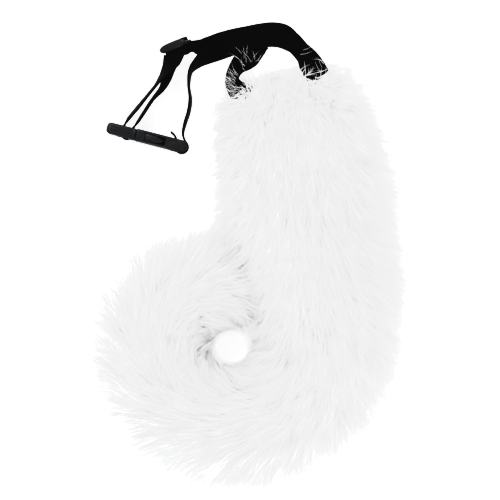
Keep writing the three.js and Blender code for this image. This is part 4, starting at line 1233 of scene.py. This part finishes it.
def area_light(name, place, aim, size, power, colour=(1.0, 1.0, 1.0)):
    """A soft square light at a place, turned to an aim."""
    data = bpy.data.lights.new(name, "AREA")
    data.size = size
    data.energy = power
    data.color = colour
    light = bpy.data.objects.new(name, data)
    light.location = place
    light.rotation_mode = "QUATERNION"
    light.rotation_quaternion = (Vector(aim) - Vector(place)).to_track_quat("-Z", "Y")
    light.visible_camera = False
    bpy.context.scene.collection.objects.link(light)


# The photo's contrast: light that reaches the camera, and light shown, both linear. Blacks are held down
# and the whites lie close together. The curve starts at the darkest light shown, where none comes.
DARKEST = 0.0028
TONE_CURVE = (
    (0.02, 0.006),
    (0.04, 0.014),
    (0.07, 0.038),
    (0.12, 0.09),
    (0.25, 0.27),
    (0.36, 0.52),
    (0.46, 0.74),
    (0.58, 0.83),
    (0.72, 0.868),
    (0.85, 0.893),
    (0.95, 0.93),
)


# Sizes in metres, and light from the sides and from above.
FLOOR_SIZE = 12.0
FRAME_WIDTH = 0.5
FLOOR_GREY = 0.18
SIDE_LIGHT = (0.62, 0.62, 0.625)
TOP_LIGHT = (1.0, 1.0, 1.0)


def build_stage(settings):
    """A white floor, soft light from all round with a brighter side, and the camera straight above."""
    scene = bpy.context.scene
    scene.view_settings.view_transform = "Standard"
    scene.view_settings.look = "None"
    scene.view_settings.use_curve_mapping = True
    mapping = scene.view_settings.curve_mapping
    points = mapping.curves[3].points
    points[0].location = (0.0, DARKEST)
    for light, shown in TONE_CURVE:
        points.new(light, shown)
    mapping.update()
    world = bpy.data.worlds.new("studio")
    world.use_nodes = True
    tree = world.node_tree
    direction = node(tree, "ShaderNodeSeparateXYZ")
    tree.links.new(node(tree, "ShaderNodeTexCoord").outputs["Generated"], direction.inputs[0])
    glow = ramp(tree, direction.outputs[2], [(0.0, SIDE_LIGHT), (0.9, TOP_LIGHT)])
    tree.links.new(glow, tree.nodes["Background"].inputs["Color"])
    tree.nodes["Background"].inputs["Strength"].default_value = settings.ambient
    scene.world = world

    half = FLOOR_SIZE / 2
    corners = np.array([(-half, -half, 0), (half, -half, 0), (half, half, 0), (-half, half, 0)]) / MM
    mesh = mesh_from("floor", corners, np.array([(0, 1, 2, 3)]), smooth=False)
    material, tree, shader = new_material("white_floor")
    shader.inputs["Base Color"].default_value = (FLOOR_GREY, FLOOR_GREY, FLOOR_GREY, 1.0)
    shader.inputs["Roughness"].default_value = 0.9
    shader.inputs["Specular IOR Level"].default_value = 0.1
    shader.inputs["Emission Color"].default_value = (1.0, 1.0, 1.0, 1.0)
    shader.inputs["Emission Strength"].default_value = settings.floor_glow
    mesh.materials.append(material)
    floor = bpy.data.objects.new("floor", mesh)
    scene.collection.objects.link(floor)

    area_light("key", (-1.1, 0.9, 1.9), (0, 0, 0), 1.2, settings.key)
    area_light("fill", (1.6, -0.6, 1.3), (0, 0, 0), 1.6, settings.key * 0.35)
    area_light("rim", (-0.5, -1.43, 0.3), (-0.1, 0.12, 0.02), 0.5, settings.rim)

    data = bpy.data.cameras.new("camera")
    data.sensor_width = 36.0
    height = settings.camera_height
    data.lens = data.sensor_width * (height - settings.scale_height) / FRAME_WIDTH
    data.clip_end = 50.0
    camera = bpy.data.objects.new("camera", data)
    camera.location = (settings.centre[0], settings.centre[1], height)
    scene.collection.objects.link(camera)
    scene.camera = camera
    scene.cycles.max_bounces = 16
    scene.cycles.diffuse_bounces = 14


# Settings, operators and panel


class TailSettings(bpy.types.PropertyGroup):
    """Sizes and colours of the tail and its belt."""

    seed: IntProperty(name="Seed", description="Start of the hair's scatter", default=7)
    hairs: IntProperty(
        name="Hairs", description="Hairs in a stretch, before its own share", default=9500, min=100
    )
    pile: FloatProperty(name="Pile", description="Length of the hair, in millimetres", default=41.0)
    strand: FloatProperty(
        name="Strand", description="Thickness of a hair's root, in millimetres", default=0.8
    )
    lean: FloatProperty(
        name="Lean", description="How far hair leans to the tip", default=math.radians(24), subtype="ANGLE"
    )
    tuft_radius: FloatProperty(
        name="Tuft", description="Reach of a tuft on the skin, in millimetres", default=3.2
    )
    loose_share: FloatProperty(
        name="Loose", description="Share of hairs that belong to no tuft", default=0.3, subtype="FACTOR"
    )
    core_share: FloatProperty(
        name="Core", description="Size of the core under the pile", default=0.97, subtype="FACTOR"
    )
    fur_colour: FloatVectorProperty(
        name="Fur colour", description="Colour of the pile", default=(0.985, 0.987, 0.99), subtype="COLOR"
    )
    webbing_colour: FloatVectorProperty(
        name="Webbing colour",
        description="Colour of the belt",
        default=(0.0035, 0.0035, 0.0045),
        subtype="COLOR",
    )
    plastic_colour: FloatVectorProperty(
        name="Plastic colour",
        description="Colour of the buckle",
        default=(0.009, 0.0095, 0.011),
        subtype="COLOR",
    )
    edge: FloatProperty(
        name="Edge", description="Rounding of the plastic's edges", default=0.0007, unit="LENGTH"
    )
    ambient: FloatProperty(
        name="Ambient", description="Strength of the light from all round", default=1.45
    )
    key: FloatProperty(name="Key", description="Power of the brighter side", default=20.0, unit="POWER")
    rim: FloatProperty(name="Rim", description="Power of the low light", default=6.0, unit="POWER")
    floor_glow: FloatProperty(name="Floor glow", description="Light added to the floor", default=0.9)
    # Painted light: how brightly the backing under the pile glows.
    backing_glow: FloatProperty(
        name="Backing glow", description="Light that the pile lets through", default=0.42
    )
    camera_height: FloatProperty(
        name="Camera height", description="Height of the camera", default=3.0, unit="LENGTH"
    )
    scale_height: FloatProperty(
        name="Scale height", description="Height at which 0.5 m fills the frame", default=0.03, unit="LENGTH"
    )
    centre: FloatVectorProperty(
        name="Centre",
        description="Place under the camera",
        default=(0.001645, 0.007629),
        size=2,
        unit="LENGTH",
    )


class TAIL_OT_core(bpy.types.Operator):
    """Build the stuffed core under the pile"""

    bl_idname = "costume_tail.core"
    bl_label = "Core"

    def execute(self, context):
        build_core(context.scene.costume_tail)
        return {"FINISHED"}


class TAIL_OT_fur(bpy.types.Operator):
    """Build the pile, one piece for each stretch of the tail"""

    bl_idname = "costume_tail.fur"
    bl_label = "Fur"

    def execute(self, context):
        build_fur(context.scene.costume_tail)
        return {"FINISHED"}


class TAIL_OT_webbing(bpy.types.Operator):
    """Build the belt's two stretches of webbing"""

    bl_idname = "costume_tail.webbing"
    bl_label = "Webbing"

    def execute(self, context):
        build_webbing(context.scene.costume_tail)
        return {"FINISHED"}


class TAIL_OT_plastic(bpy.types.Operator):
    """Build the slider and both halves of the buckle"""

    bl_idname = "costume_tail.plastic"
    bl_label = "Buckle and slider"

    def execute(self, context):
        build_plastic(context.scene.costume_tail)
        return {"FINISHED"}


class TAIL_OT_stage(bpy.types.Operator):
    """Build the floor, the lights and the camera"""

    bl_idname = "costume_tail.stage"
    bl_label = "Stage"

    def execute(self, context):
        build_stage(context.scene.costume_tail)
        return {"FINISHED"}


OPERATORS = (TAIL_OT_stage, TAIL_OT_core, TAIL_OT_fur, TAIL_OT_webbing, TAIL_OT_plastic)


class TAIL_PT_panel(bpy.types.Panel):
    """Lists the tail's settings and pieces"""

    bl_idname = "TAIL_PT_panel"
    bl_label = "Costume tail"
    bl_space_type = "VIEW_3D"
    bl_region_type = "UI"
    bl_category = "Costume tail"

    def draw(self, context):
        for name in TailSettings.__annotations__:
            self.layout.prop(context.scene.costume_tail, name)
        for operator in OPERATORS:
            self.layout.operator(operator.bl_idname)


def register():
    for made in (TailSettings, *OPERATORS, TAIL_PT_panel):
        bpy.utils.register_class(made)
    bpy.types.Scene.costume_tail = PointerProperty(type=TailSettings)


def unregister():
    del bpy.types.Scene.costume_tail
    for made in (TAIL_PT_panel, *reversed(OPERATORS), TailSettings):
        bpy.utils.unregister_class(made)


def main():
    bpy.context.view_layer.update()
    register()
    bpy.ops.costume_tail.stage()
    bpy.ops.costume_tail.core()
    bpy.ops.costume_tail.fur()
    bpy.ops.costume_tail.webbing()
    bpy.ops.costume_tail.plastic()


if __name__ == "__main__":
    main()
